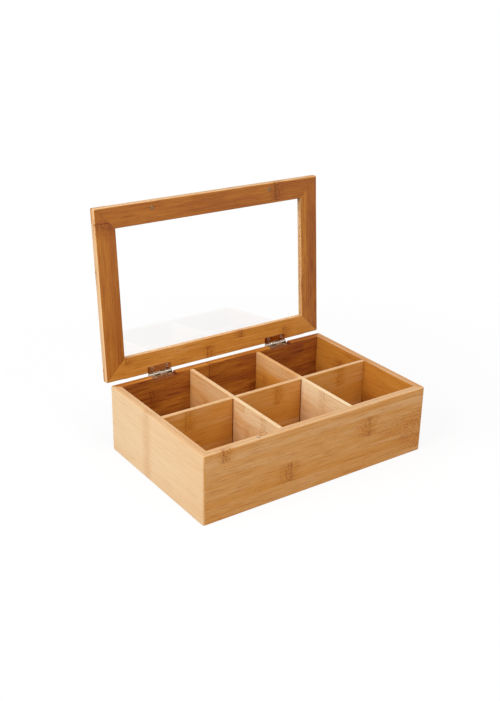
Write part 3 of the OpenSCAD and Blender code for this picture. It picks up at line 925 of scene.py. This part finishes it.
class TEABOX_OT_dividers(bpy.types.Operator):
    """The long divider and the two cross dividers, halved over each other"""

    bl_idname = "teabox.dividers"
    bl_label = "Dividers"

    def execute(self, context):
        s = context.scene.tea_sizes
        slot = DIVIDER_T / 2 + s.fit
        self.divider(s, "long_divider", DIVIDER_HI[0] - DIVIDER_LO[0],
                     [(x - slot, x + slot) for x in (-CROSS_X, CROSS_X)], True, 0, 0,
                     self.long_look())
        for side, name in ((-1, "left"), (1, "right")):
            self.divider(s, f"{name}_cross_divider", CROSS_HI[1] - CROSS_LO[1],
                         [(-slot, slot)], False, 90, side * CROSS_X,
                         self.cross_look(side, name))
        return {"FINISHED"}

    @staticmethod
    def long_look():
        marks = [(-112, DIVIDER_STRIPS[1], *ALL_THROUGH, 1, 0.4, 12),
                 (9, DIVIDER_STRIPS[1], *ALL_THROUGH, 1, 0.5, 12),
                 (101, DIVIDER_STRIPS[1], *ALL_THROUGH, 1, 0.4, 12)]
        # Painted shade where the cross dividers stand against the long divider
        shaded_seams = [(x / MM, DIVIDER_T / 2 / MM, DIVIDER_HI[2] / MM) for x in (-CROSS_X, CROSS_X)]
        # The first fade is painted shade, darker lower down in the compartments
        return bamboo("bamboo_long_divider", axes(X, Z, Y, (0, DIVIDER_LO[1], 0)),
                      (0.48, 0.48), 31, marks=marks, shaded_seams=shaded_seams,
                      fades=[(-0.02, 36, 62, 1), (-0.24, *TOP_EDGE)], coarse=0.1, lively=0.5,
                      edge=0.5, mottle=0.3, **DIVIDER_BAMBOO)

    @staticmethod
    def cross_look(side, name):
        seed, tone = {"left": (37, 0.17), "right": (43, 0.06)}[name]
        marks = [(-54 + 10 * side, DIVIDER_STRIPS[1], *ALL_THROUGH, 1, 0.1, 9),
                 (-44 - 10 * side, DIVIDER_STRIPS[0], *ALL_THROUGH, 1, 0.1, 9),
                 (64 + 8 * side, DIVIDER_STRIPS[0], *ALL_THROUGH, -1, 0.4, 15)]
        # Painted shade where the long divider crosses this one
        shaded_seams = [(0, DIVIDER_T / 2 / MM, DIVIDER_HI[2] / MM)]
        back_tone = 0.33 + 0.07 * side
        # The fade from 71 down to 54 is painted shade, darker lower down in the compartments
        return bamboo(f"bamboo_{name}_cross_divider",
                      axes(Y, Z, X, (side * CROSS_X - DIVIDER_T / 2, 0, 0)), (tone, tone),
                      seed, marks=marks, shaded_seams=shaded_seams,
                      fades=[(back_tone - tone, -8, 14, 0), (0.15, 71, 54, 1),
                             (-0.09, *TOP_EDGE)],
                      edge=0.42, lively=0.7, mottle=0.25, **DIVIDER_BAMBOO)

    @staticmethod
    def divider(s, name, length, cuts, from_top, turn, x_middle, look):
        """Board section with rounded top edges. Inside a halving slot its top drops to half
        height, or its lower edge rises to it."""
        x, state = slot_stations(-length / 2 + s.arris, length / 2 - s.arris, cuts, s.arris)
        x = np.concatenate([[-length / 2], x, [length / 2]])
        state = np.pad(state, 1)
        low, top = DIVIDER_LO[2], DIVIDER_HI[2]
        middle, half = (low + top) / 2, DIVIDER_T / 2
        if from_top:
            upper, lower = np.choose(state, [top, top - s.arris, middle]), low
        else:
            upper, lower = top, np.choose(state, [low, low + s.arris, middle])
        corners = stack((-half, lower), (half, lower), (half, middle), (half, upper),
                        (-half, upper), (-half, middle))
        radii = np.zeros((len(x), 6))
        radii[:, :2] = s.arris
        radii[:, 3:5] = s.divider_edge
        inside = state == 2
        radii[inside] = 0
        if not from_top:
            radii[inside, 3:5] = s.divider_edge
        inset = np.zeros(len(x))
        inset[[0, -1]] = s.arris
        section = soft_section(corners, [(1, 0), (0, 1), (0, 1), (-1, 0), (0, -1), (0, -1)],
                               radii, inset)
        make_piece(f"{name}_bamboo", straight_board(x, section, turn, (x_middle, 0, 0)),
                   "box", [name], look)


class TEABOX_OT_lid_rails(bpy.types.Operator):
    """The four mitred rails of the lid, grooved for the pane and slotted for the keys"""

    bl_idname = "teabox.lid_rails"
    bl_label = "Lid rails"

    def execute(self, context):
        s = context.scene.tea_sizes
        deep = MAGNET_T + MAGNET_SINK
        pockets = [lathe([(0, -MM), (MAGNET_R, -MM), (MAGNET_R, deep), (0, deep)],
                         centre=(x, MAGNET_Y, LID_LO[2])) for x in (-MAGNET_X, MAGNET_X)]
        slots = {corner: key_surface(s, corner, cutter=True) for corner in LID_CORNERS}
        # (deep, half depth) of marks on the underside and on the top, in millimetres
        under, over = (0, 3.9), (8, 4.0)
        rails = (
            ("front", LID_W, LID_D, 0, ("fl", "fr"), X, Y, 0.86, 51, 3.7,
             [(89, -90, *under, 1, 1, 18), (32, -90, *over, -1, 0.9, 22)]),
            ("back", LID_W, LID_D, 180, ("bl", "br"), X, Y, 0.58, 57, 12.6,
             [(-16, 95, *under, 1, 0.9, 12), (34, 71, *under, -1, 0.9, 12),
              (97, 95, *under, 1, 0.6, 14), (-126, 71, *under, 1, 0.7, 12),
              (112, 88, *over, -1, 1, 15)]),
            ("left", LID_D, LID_W, -90, ("fl", "bl"), Y, X, 0.93, 63, 16.5,
             [(-84, -141, *under, 1, 1.2, 18), (-30, -147, *over, 1, 0.8, 18)]),
            ("right", LID_D, LID_W, 90, ("fr", "br"), Y, X, 0.81, 71, 31.3,
             [(20, 147, *over, 1, 1, 14)]),
        )
        # The left rail's fade is painted light, paler on its outer edge face, which faces the key
        # lamp; the right rail's is a strip of its own tone
        fades = {"right": [(0.18, 134, 138, 1)], "left": [(-0.08, -151.2, -151.7, 1)]}
        for name, length, depth, turn, corners, along, across, tone, seed, shift, marks in rails:
            # Each rail's tone is its underside's, deeper than the 0.3 above the skin: partly the
            # strips' own colour and partly painted shade on the underside, which faces forward
            # when the lid is open
            look = bamboo(f"bamboo_lid_{name}_rail",
                          axes(along, across, Z, (0, 0, LID_LO[2]), LID_DOWN),
                          (tone, 0.3), seed, shift, 30.0, marks, skin=0.25,
                          fades=fades.get(name, ()), lively=1.8 if name == "right" else 1.2,
                          calm=0.5, edge=0.5)
            self.rail(s, name, length, depth, turn, look,
                      [slots[c] for c in corners] + (pockets if name == "front" else []))
        return {"FINISHED"}

    @staticmethod
    def rail(s, name, length, depth, turn, look, cutters):
        """Rail section: a groove in the inner edge for the pane, rounded long edges, the
        lower outside one the most."""
        low, high = PANE_LO[2] - LID_LO[2], PANE_HI[2] - LID_LO[2]
        pane_gap = 0.5 * MM
        groove = RAIL_W - (PANE_HI[0] - (LID_W / 2 - RAIL_W)) - pane_gap
        ends = s.lid_corner + MM
        x = np.linspace(ends, length - ends, 8)
        if name == "back":
            # past the keys, the lower outside edge gets the hinges' smaller radius
            far, run = s.key_leg + 2 * MM, 5 * MM
            x = np.sort(np.concatenate([x, [far, far + run, length - far - run, length - far]]))
        outer, inner, along = side_plan(x, length, RAIL_W, s.lid_corner)
        n = len(along)
        corners = stack((np.zeros(n), 0), (RAIL_W, 0), (RAIL_W, low), (groove, low),
                        (groove, high), (RAIL_W, high), (RAIL_W, LID_T), (0, LID_T))
        radii = np.tile([s.lid_low_edge, s.lid_edge, s.arris, 0, 0, s.arris, s.lid_edge,
                         s.lid_edge], (n, 1))
        if name == "back":
            blend = np.clip((np.minimum(along, length - along) - far) / run, 0, 1)
            radii[:, 0] += blend * (s.hinge_edge - s.lid_low_edge)
        out = [(1, 0), (0, 1), (-1, 0), (0, 1), (1, 0), (0, 1), (-1, 0), (0, -1)]
        inset = np.zeros(n)
        inset[[0, -1]] = s.joint_line
        section = soft_section(corners, out, radii, inset, 5)
        make_piece(f"lid_{name}_rail_bamboo",
                   side_surface(section, outer, inner, length, depth, RAIL_W, turn,
                                (0, LID_Y, LID_LO[2])),
                   "lid", [f"lid_{name}_rail"], look, cutters, lid=True)


LID_CORNERS = {"fl": (-1, -1), "bl": (-1, 1), "fr": (1, -1), "br": (1, 1)}


def key_surface(s, corner, cutter=False):
    """Loose key in a slot across a mitre: a triangle with its corner rounded as the lid's,
    carried upwards and pulled in where the lid's lower edge is rounded, by
    r - sqrt(r^2 - (r - z)^2). The cutter is the same triangle run past the edges."""
    side_x, side_y = LID_CORNERS[corner]
    low, high = KEY_Z[side_x]
    leg = s.key_leg
    if cutter:
        z = np.array([low, high])
        base = np.array([(-MM, -MM), (leg + MM, -MM), (-MM, leg + MM)])
        plan = np.broadcast_to(base, (2, 3, 2))
    else:
        line = s.joint_line * 0.7
        z = np.concatenate([[low, low + line], np.linspace(low + 0.3 * MM, high - 0.3 * MM, 7),
                            [high - line, high]])
        r, top_r = s.lid_low_edge, s.lid_edge
        rise = np.clip(r - z, 0, r)
        fall = np.clip(z - (LID_T - top_r), 0, top_r)
        pull = r - np.sqrt(r * r - rise ** 2) + top_r - np.sqrt(top_r ** 2 - fall ** 2)
        pull[[0, -1]] += line
        a = np.linspace(1.5 * math.pi, math.pi, 9)[None, :]
        c = s.lid_corner
        radius = (c - pull)[:, None]
        arc = np.stack([c + radius * np.cos(a), c + radius * np.sin(a)], -1)
        first = np.stack([leg - pull, pull], -1)[:, None]
        last = first[..., ::-1]
        plan = np.concatenate([first, arc, last], 1)
    points = np.concatenate([plan, np.broadcast_to(z[:, None, None], plan.shape[:2] + (1,))], -1)
    points = points * [-side_x, -side_y, 1]
    points = points + [side_x * LID_W / 2, LID_Y + side_y * LID_D / 2, LID_LO[2]]
    return tube(points)


class TEABOX_OT_keys(bpy.types.Operator):
    """The loose keys that strengthen the mitres of the lid"""

    bl_idname = "teabox.keys"
    bl_label = "Corner keys"

    def execute(self, context):
        s = context.scene.tea_sizes
        slant = math.sqrt(0.5)
        for side, name, seed in ((-1, "high", 81), (1, "low", 87)):
            surface = together(*[key_surface(s, c) for c in LID_CORNERS
                                 if LID_CORNERS[c][0] == side])
            look = bamboo(f"bamboo_{name}_keys", axes(
                (slant, slant, 0), (slant, -slant, 0), Z, (0, 0, LID_LO[2]), LID_DOWN),
                (0.68, 0.68), seed, 1.0, 30.0, coarse=0.2)
            make_piece(f"lid_{name}_keys_bamboo", surface, "lid",
                       [f"lid_{name}_keys"], look, lid=True)
        return {"FINISHED"}


class TEABOX_OT_pane(bpy.types.Operator):
    """The clear pane in the grooves of the lid rails"""

    bl_idname = "teabox.pane"
    bl_label = "Pane"

    def execute(self, context):
        make_piece("lid_pane_acrylic", slab(PANE_LO, PANE_HI, 0.25 * MM), "lid",
                   ["lid_pane"], clear_pane("clear_acrylic", context.scene.tea_colours.pane),
                   lid=True)
        return {"FINISHED"}


# ---- Hinges ----

# Knuckles of a hinge and which of them, from the left, each leaf has
KNUCKLES = 4
OWN = {"box": (1, 3), "lid": (0, 2)}
# Softening of the knuckles' ends
KNUCKLE_SOFT = 0.14 * MM


def leaf_stations(s, own):
    """Places along the leaf, from the middle of the pin: two at each end of a knuckle and one
    just inside it, and more where the plate's corners are round. Gives them with what is there:
    full is 1 in a knuckle and 0 beside it, soft is 1 on a knuckle's softened end."""
    pitch = (HINGE_L + s.knuckle_gap) / KNUCKLES
    starts = [-HINGE_L / 2 + pitch * i for i in own]
    own_ranges = [(start, start + pitch - s.knuckle_gap) for start in starts]
    x, full, soft = [], [], []
    for start, end in own_ranges:
        x += [start, start, start + KNUCKLE_SOFT, end - KNUCKLE_SOFT, end, end]
        full += [0, 1, 1, 1, 1, 0]
        soft += [0, 1, 0, 0, 1, 0]
    bend = s.leaf_corner * (1 - np.cos(np.linspace(0, math.pi / 2, 6)))
    ends = np.concatenate([-HINGE_L / 2 + bend, HINGE_L / 2 - bend])
    at_first, at_last = 0 in own, KNUCKLES - 1 in own
    order = np.argsort(np.concatenate([x, ends]), kind="stable")
    in_own = np.array([any(a < e < b for a, b in own_ranges) for e in ends], float)
    in_own[[0, len(ends) // 2]] = [at_first, at_last]
    x, full, soft = (np.concatenate([a, b])[order]
                     for a, b in ((x, ends), (full, in_own), (soft, np.zeros(len(ends)))))
    if at_first:
        x, full, soft = x[1:], full[1:], soft[1:]
    if at_last:
        x, full, soft = x[:-1], full[:-1], soft[:-1]
    return x, full, soft


def leaf_surface(s, own):
    """Leaf with its knuckles rolled round the pin. Stations run along the pin, which lies on X;
    each outline goes under the plate, round the barrel with its squared stop heel, and back
    over the plate. Between the knuckles the barrel's points close up onto the plate's edge."""
    x, full, soft = leaf_stations(s, own)
    r, reach, corner = KNUCKLE_R, LEAF_REACH, s.leaf_corner
    top, edge = -r + s.leaf_t, -s.heel_reach - s.stop_gap
    to_end = np.clip(HINGE_L / 2 - np.abs(x), 0, corner)
    far = -reach + corner - np.sqrt(np.maximum(corner ** 2 - (corner - to_end) ** 2, 0))
    # the heel is drawn upright with its face at -1.65, and turned to where the leaf stops it
    face = 1.65
    heel = np.array([(-0.9, 1.75), (-1.45, 1.75), (-1.6, 1.68), (-face, 1.55),
                     (-face, 0.95)]) * MM
    heel[:, 0] *= s.heel_reach / (face * MM)
    turn = np.array([[math.cos(-OPEN_ANGLE), -math.sin(-OPEN_ANGLE)],
                     [math.sin(-OPEN_ANGLE), math.cos(-OPEN_ANGLE)]])
    heel = heel @ turn.T
    low_arc = np.radians(np.linspace(-90, -4, 9))
    high_arc = np.radians(np.linspace(60, 213, 14))
    # under the barrel, the heel, over the barrel, and a small step down onto the plate
    ring = np.concatenate([
        r * np.stack([np.cos(low_arc), np.sin(low_arc)], -1), heel,
        r * np.stack([np.cos(high_arc), np.sin(high_arc)], -1),
        [(-1.43 * MM, top + 0.02 * MM), (-1.5 * MM, top)]])
    half = len(ring) // 2
    flat = np.array([(edge, -r)] * half + [(edge, top)] * (len(ring) - half))
    scale = (1 - soft * KNUCKLE_SOFT / r)[:, None, None]
    barrel = full[:, None, None] * ring[None] * scale + (1 - full)[:, None, None] * flat[None]
    bevel = 0.12 * MM
    below = stack((far, -r + bevel), (far + bevel, -r), (edge, -r))
    above = stack((edge, top), (far + bevel, top), (far, top - bevel))
    return straight_board(x, np.concatenate([below, barrel, above], 1))


def leaf_matrix(side, kind):
    """Where a leaf goes: the box leaf as drawn, the lid leaf mirrored and laid on the closed
    lid."""
    place = Matrix.Translation((side * HINGE_X, HINGE[1], HINGE[2]))
    return np.array(place @ (Matrix.Scale(-1, 4, Z) if kind == "lid" else Matrix.Identity(4)))


class TEABOX_OT_hinges(bpy.types.Operator):
    """The leaves of the two stop hinges, with rolled knuckles and squared heels"""

    bl_idname = "teabox.hinges"
    bl_label = "Hinge leaves"

    def execute(self, context):
        s, c = context.scene.tea_sizes, context.scene.tea_colours
        # The plates' brown tint is a painted reflection of the wood
        look = nickel("nickel_plate", c.steel, 0.11, c.plate)
        wide = PIN_R + 0.03 * MM
        bore = lathe([(0, -HINGE_L), (wide, -HINGE_L), (wide, HINGE_L), (0, HINGE_L)], 24,
                     axis="X")
        head, low = s.screw_head / 2 + 0.25 * MM, s.leaf_t + MM
        holes = [lathe([(0, -low), (head - s.leaf_t, -low), (head - s.leaf_t, -s.leaf_t),
                        (head, 0), (head, MM), (0, MM)], 32,
                       (x, -s.screw_reach, s.leaf_t - KNUCKLE_R))
                 for x in (-s.screw_spread, s.screw_spread)]
        for side, name in ((-1, "left"), (1, "right")):
            for kind in ("box", "lid"):
                place = leaf_matrix(side, kind)
                surface, *cutters = [(moved(place, v), f) for v, f in (
                    leaf_surface(s, OWN[kind]), bore, *holes)]
                make_piece(f"{name}_hinge_{kind}_leaf_steel", surface, kind,
                           [f"{name}_hinge_{kind}_leaf"], look, cutters, lid=kind == "lid")
        return {"FINISHED"}


class TEABOX_OT_pins(bpy.types.Operator):
    """The hinge pins, with domed ends"""

    bl_idname = "teabox.pins"
    bl_label = "Hinge pins"

    def execute(self, context):
        # The pins take the plates' brown tint, a painted reflection of the wood
        look = nickel("nickel_pin", context.scene.tea_colours.plate, 0.2)
        rise = 0.35 * MM
        a = np.linspace(0, math.pi / 2, 7)
        dome = np.stack([PIN_R * np.sin(a), HINGE_L / 2 - rise * (1 - np.cos(a))], -1)
        profile = np.concatenate([dome, dome[::-1] * [1, -1]])
        for side, name in ((-1, "left"), (1, "right")):
            make_piece(f"{name}_hinge_pin_steel",
                       lathe(profile, 32, (side * HINGE_X, HINGE[1], HINGE[2]), "X"),
                       "box", [f"{name}_hinge_pin"], look)
        return {"FINISHED"}


def screw_surface(s):
    """Countersunk screw, its head's face at z = 0. Rings run from the middle of the head, over
    the sloping sides of the cross recess, down the cone and along the thread, where the radius
    is the core's plus a ridge that climbs once round per pitch, to the point."""
    head, shank = s.screw_head / 2, s.screw_shank / 2
    # how far an arm of the cross reaches, half its width, and its depth in the middle
    arm, half, depth = 1.25 * MM, 0.34 * MM, 0.95 * MM
    # the thread's pitch, its core's share of the radius, and the length of the point
    pitch, core, point = 0.9 * MM, 0.76, 1.6 * MM
    # place across an arm, from its middle (0) to half way to the next arm (1)
    t = np.array([0, 0.35, 0.5, 0.66, 0.83])
    rho = np.array([0.06, 0.2, 0.36, 0.55, 0.8, 0.98, 1.1, 1.25, 1.7, 2.02]) * MM
    # half the angle of an arm, which past its end widens to an eighth of the way round
    share = np.arcsin(np.minimum(half / rho, math.sqrt(0.5)))
    past = np.clip((rho - arm) / MM, 0, 1)
    share = (math.pi / 8 * past + share * (1 - past))[:, None]
    one = np.where(t <= 0.5, t * 2 * share, share + (t - 0.5) * 2 * (math.pi / 4 - share))
    inside = np.where(t < 0.45, 1.0, 0.0)[None] * (rho < arm - 0.05 * MM)[:, None]
    inside = np.maximum(inside, (rho < half * 1.2)[:, None] * 1.0)
    fall = -depth * inside * (1 - 0.35 * (rho / arm))[:, None]
    quarter = np.concatenate([one, math.pi / 2 - one[:, :0:-1]], 1)
    quarter_z = np.concatenate([fall, fall[:, :0:-1]], 1)
    turns = np.arange(4)[:, None] * math.pi / 2
    angle = (quarter[:, None] + turns[None]).reshape(len(rho), -1)
    z = np.tile(quarter_z, (1, 4))
    flat = around(rho[:, None], angle, z)
    middle = np.broadcast_to(np.array([0, 0, z[0].min()]), flat[:1].shape)
    a = circle(flat.shape[1])
    cone_h = head - shank
    rim = np.array([
        (head - 0.02 * MM, -0.02 * MM), (head, -0.06 * MM), (head, -0.14 * MM),
        (shank * 1.05, -cone_h - 0.1 * MM), (shank * 0.78, -cone_h - 0.4 * MM)])
    low = -s.screw_length + point
    h = np.linspace(-cone_h - 0.6 * MM, low, 44)[:, None]
    phase = (h / pitch + a[None] / (2 * math.pi)) % 1
    ridge = np.clip(1 - np.abs(phase - 0.5) * 4, 0, 1)
    radius = shank * (core + (1 - core) * ridge)
    tip = np.array([(shank * 0.7, low - 0.2 * MM),
                    (shank * 0.12, -s.screw_length + 0.05 * MM), (0, -s.screw_length)])
    return tube(np.concatenate([middle, flat, around(rim[:, :1], a, rim[:, 1:]),
                                around(radius, a, h), around(tip[:, :1], a, tip[:, 1:])]))


class TEABOX_OT_screws(bpy.types.Operator):
    """The eight countersunk cross-head screws of the hinges"""

    bl_idname = "teabox.screws"
    bl_label = "Hinge screws"

    def execute(self, context):
        s = context.scene.tea_sizes
        look = nickel("nickel_screw", context.scene.tea_colours.screw, 0.3)
        verts, faces = screw_surface(s)
        for kind in ("box", "lid"):
            made = []
            for i, side in enumerate((-1, 1)):
                for j, x in enumerate((-s.screw_spread, s.screw_spread)):
                    # each cross stands its own way
                    twist = Matrix.Rotation(math.radians(25 + 50 * i + 35 * j), 4, "Z")
                    spot = Matrix.Translation((x, -s.screw_reach, s.leaf_t - KNUCKLE_R))
                    made.append((moved(leaf_matrix(side, kind) @ np.array(spot @ twist), verts),
                                 faces))
            make_piece(f"{kind}_hinge_screws_steel", together(*made), kind,
                       [f"{kind}_hinge_screws"], look, lid=kind == "lid", sharp=40)
        return {"FINISHED"}


class TEABOX_OT_magnets(bpy.types.Operator):
    """The catch magnets, let into the front wall and the lid"""

    bl_idname = "teabox.magnets"
    bl_label = "Magnets"

    def execute(self, context):
        c = context.scene.tea_colours
        # Warm tints: a painted reflection of the wood
        looks = {"box": nickel("nickel_box_magnet", c.magnet, 0.26),
                 "lid": nickel("nickel_lid_magnet", c.lid_magnet, 0.3)}
        soft, r, half = 0.22 * MM, MAGNET_R - 0.04 * MM, MAGNET_T / 2
        a = np.linspace(0, math.pi / 2, 5)
        edge = np.stack([r - soft + soft * np.sin(a), half - soft + soft * np.cos(a)], -1)
        profile = np.concatenate([[(0, half)], edge, (edge * [1, -1])[::-1], [(0, -half)]])
        for kind in ("box", "lid"):
            low, high = node_box(f"{kind}_magnets", closed=kind == "lid")
            z = (low[2] + high[2]) / 2
            surface = together(*[lathe(profile, 48, (x, MAGNET_Y, z))
                                 for x in (-MAGNET_X, MAGNET_X)])
            make_piece(f"{kind}_magnets_nickel", surface, kind,
                       [f"{kind}_magnets"], looks[kind], lid=kind == "lid")
        return {"FINISHED"}


# ---- Stage ----

class TEABOX_OT_stage(bpy.types.Operator):
    """Floor, sky, soft lamps and camera"""

    bl_idname = "teabox.stage"
    bl_label = "Stage"

    def execute(self, context):
        scene = context.scene
        scene.view_settings.view_transform = "Standard"
        light, colours = scene.tea_light, scene.tea_colours
        self.floor(colours.floor)
        self.sky(scene, light.sky)
        self.lamp("key_lamp", (-1.5, -0.14, 1.05), (0, 0, 0.08), 1.3, light.key)
        self.lamp("front_lamp", (0.15, -1.25, 1.3), (0, 0, 0.1), 1.2, light.front)
        self.camera(scene)
        return {"FINISHED"}

    @staticmethod
    def floor(tint):
        """Round floor, just under the box: rings about the middle, each 1.35 times as wide as
        the one before. It looks white, the more so further out, and throws less light back up
        than that."""
        rings, sides, below = 19, 96, 0.05 * MM
        radius = np.concatenate([[0], 0.02 * 1.35 ** np.arange(rings - 1)])
        points = around(radius[:, None], circle(sides), -below)
        floor = mesh_object("floor", (points.reshape(-1, 3), ring_faces(rings, sides)))
        material, t, shader = principled("pale_floor", Roughness=0.9, Specular_IOR_Level=0.2)
        place, seen = t.object_place(), t.seen()
        cloud = t.noise(t.scale(place, (0.01, 0.01, 0.01)), 2.0)
        full, clouded, lit = ((*[c * share for c in tint], 1) for share in (1, 0.9, 0.45))
        bright = t.mix(t.math("MULTIPLY", cloud, 0.04), full, clouded)
        t.put(shader.inputs["Base Color"], t.mix(seen, lit, bright))
        whiter = t.step(t.length(place), 250.0, 650.0, 0.86, 1.0)
        shown = t.mix_shader(whiter, shader.outputs[0], t.node("ShaderNodeEmission").outputs[0])
        t.surface(t.mix_shader(seen, shader.outputs[0], shown))
        floor.data.materials.append(material)

    @staticmethod
    def sky(scene, level):
        """White behind everything that is looked at, and a lower even level as light."""
        world = bpy.data.worlds.new("sky")
        world.use_nodes = True
        scene.world = world
        t = Tree(world.node_tree)
        ground = world.node_tree.nodes["Background"]
        ground.inputs["Color"].default_value = (1, 1, 1, 1)
        t.put(ground.inputs["Strength"], t.math("MULTIPLY_ADD", t.seen(), 1 - level, level))

    @staticmethod
    def lamp(name, place, aim, width, power):
        """Round soft lamp at place that shines at aim."""
        data = bpy.data.lights.new(name, "AREA")
        data.shape, data.size, data.energy = "DISK", width, power
        lamp = bpy.data.objects.new(name, data)
        lamp.location = place
        lamp.rotation_euler = (Vector(place) - Vector(aim)).to_track_quat("Z", "Y").to_euler()
        bpy.context.scene.collection.objects.link(lamp)

    @staticmethod
    def camera(scene):
        """Camera at the left front, above, with a very slight roll."""
        azimuth, elevation, roll = (math.radians(v) for v in (-35.223, 23.182, 1.125))
        back = Vector((math.sin(azimuth) * math.cos(elevation),
                       -math.cos(azimuth) * math.cos(elevation), math.sin(elevation)))
        right = (-back).cross(Vector(Z)).normalized()
        up = right.cross(-back)
        x_axis = math.cos(roll) * right + math.sin(roll) * up
        y_axis = back.cross(x_axis)
        data = bpy.data.cameras.new("camera")
        data.lens, data.sensor_width = 51.55, 36
        camera = bpy.data.objects.new("camera", data)
        turned = Matrix((x_axis, y_axis, back)).transposed().to_4x4()
        camera.matrix_world = Matrix.Translation((-0.61477, -0.83272, 0.56787)) @ turned
        scene.collection.objects.link(camera)
        scene.camera = camera


PIECES = (TEABOX_OT_walls, TEABOX_OT_bottom, TEABOX_OT_dividers, TEABOX_OT_lid_rails,
          TEABOX_OT_keys, TEABOX_OT_pane, TEABOX_OT_hinges, TEABOX_OT_pins, TEABOX_OT_screws,
          TEABOX_OT_magnets, TEABOX_OT_stage)


class TEABOX_PT_panel(bpy.types.Panel):
    """Lists the pieces and what can be changed"""

    bl_idname = "TEABOX_PT_panel"
    bl_label = "Tea Box"
    bl_space_type = "VIEW_3D"
    bl_region_type = "UI"
    bl_category = "Tea Box"

    def draw(self, context):
        for group in (context.scene.tea_sizes, context.scene.tea_colours,
                      context.scene.tea_light):
            column = self.layout.box().column(align=True)
            for name in group.__annotations__:
                column.prop(group, name)
        column = self.layout.column(align=True)
        for piece in PIECES:
            column.operator(piece.bl_idname)


GROUPS = {"tea_sizes": TeaBoxSizes, "tea_colours": TeaBoxColours, "tea_light": TeaBoxLight}


def register():
    for cls in (*GROUPS.values(), *PIECES, TEABOX_PT_panel):
        bpy.utils.register_class(cls)
    for name, cls in GROUPS.items():
        setattr(bpy.types.Scene, name, PointerProperty(type=cls))


def unregister():
    for name in GROUPS:
        delattr(bpy.types.Scene, name)
    for cls in reversed((*GROUPS.values(), *PIECES, TEABOX_PT_panel)):
        bpy.utils.unregister_class(cls)


def main():
    register()
    for piece in PIECES:
        family, name = piece.bl_idname.split(".")
        getattr(getattr(bpy.ops, family), name)()


if __name__ == "__main__":
    main()
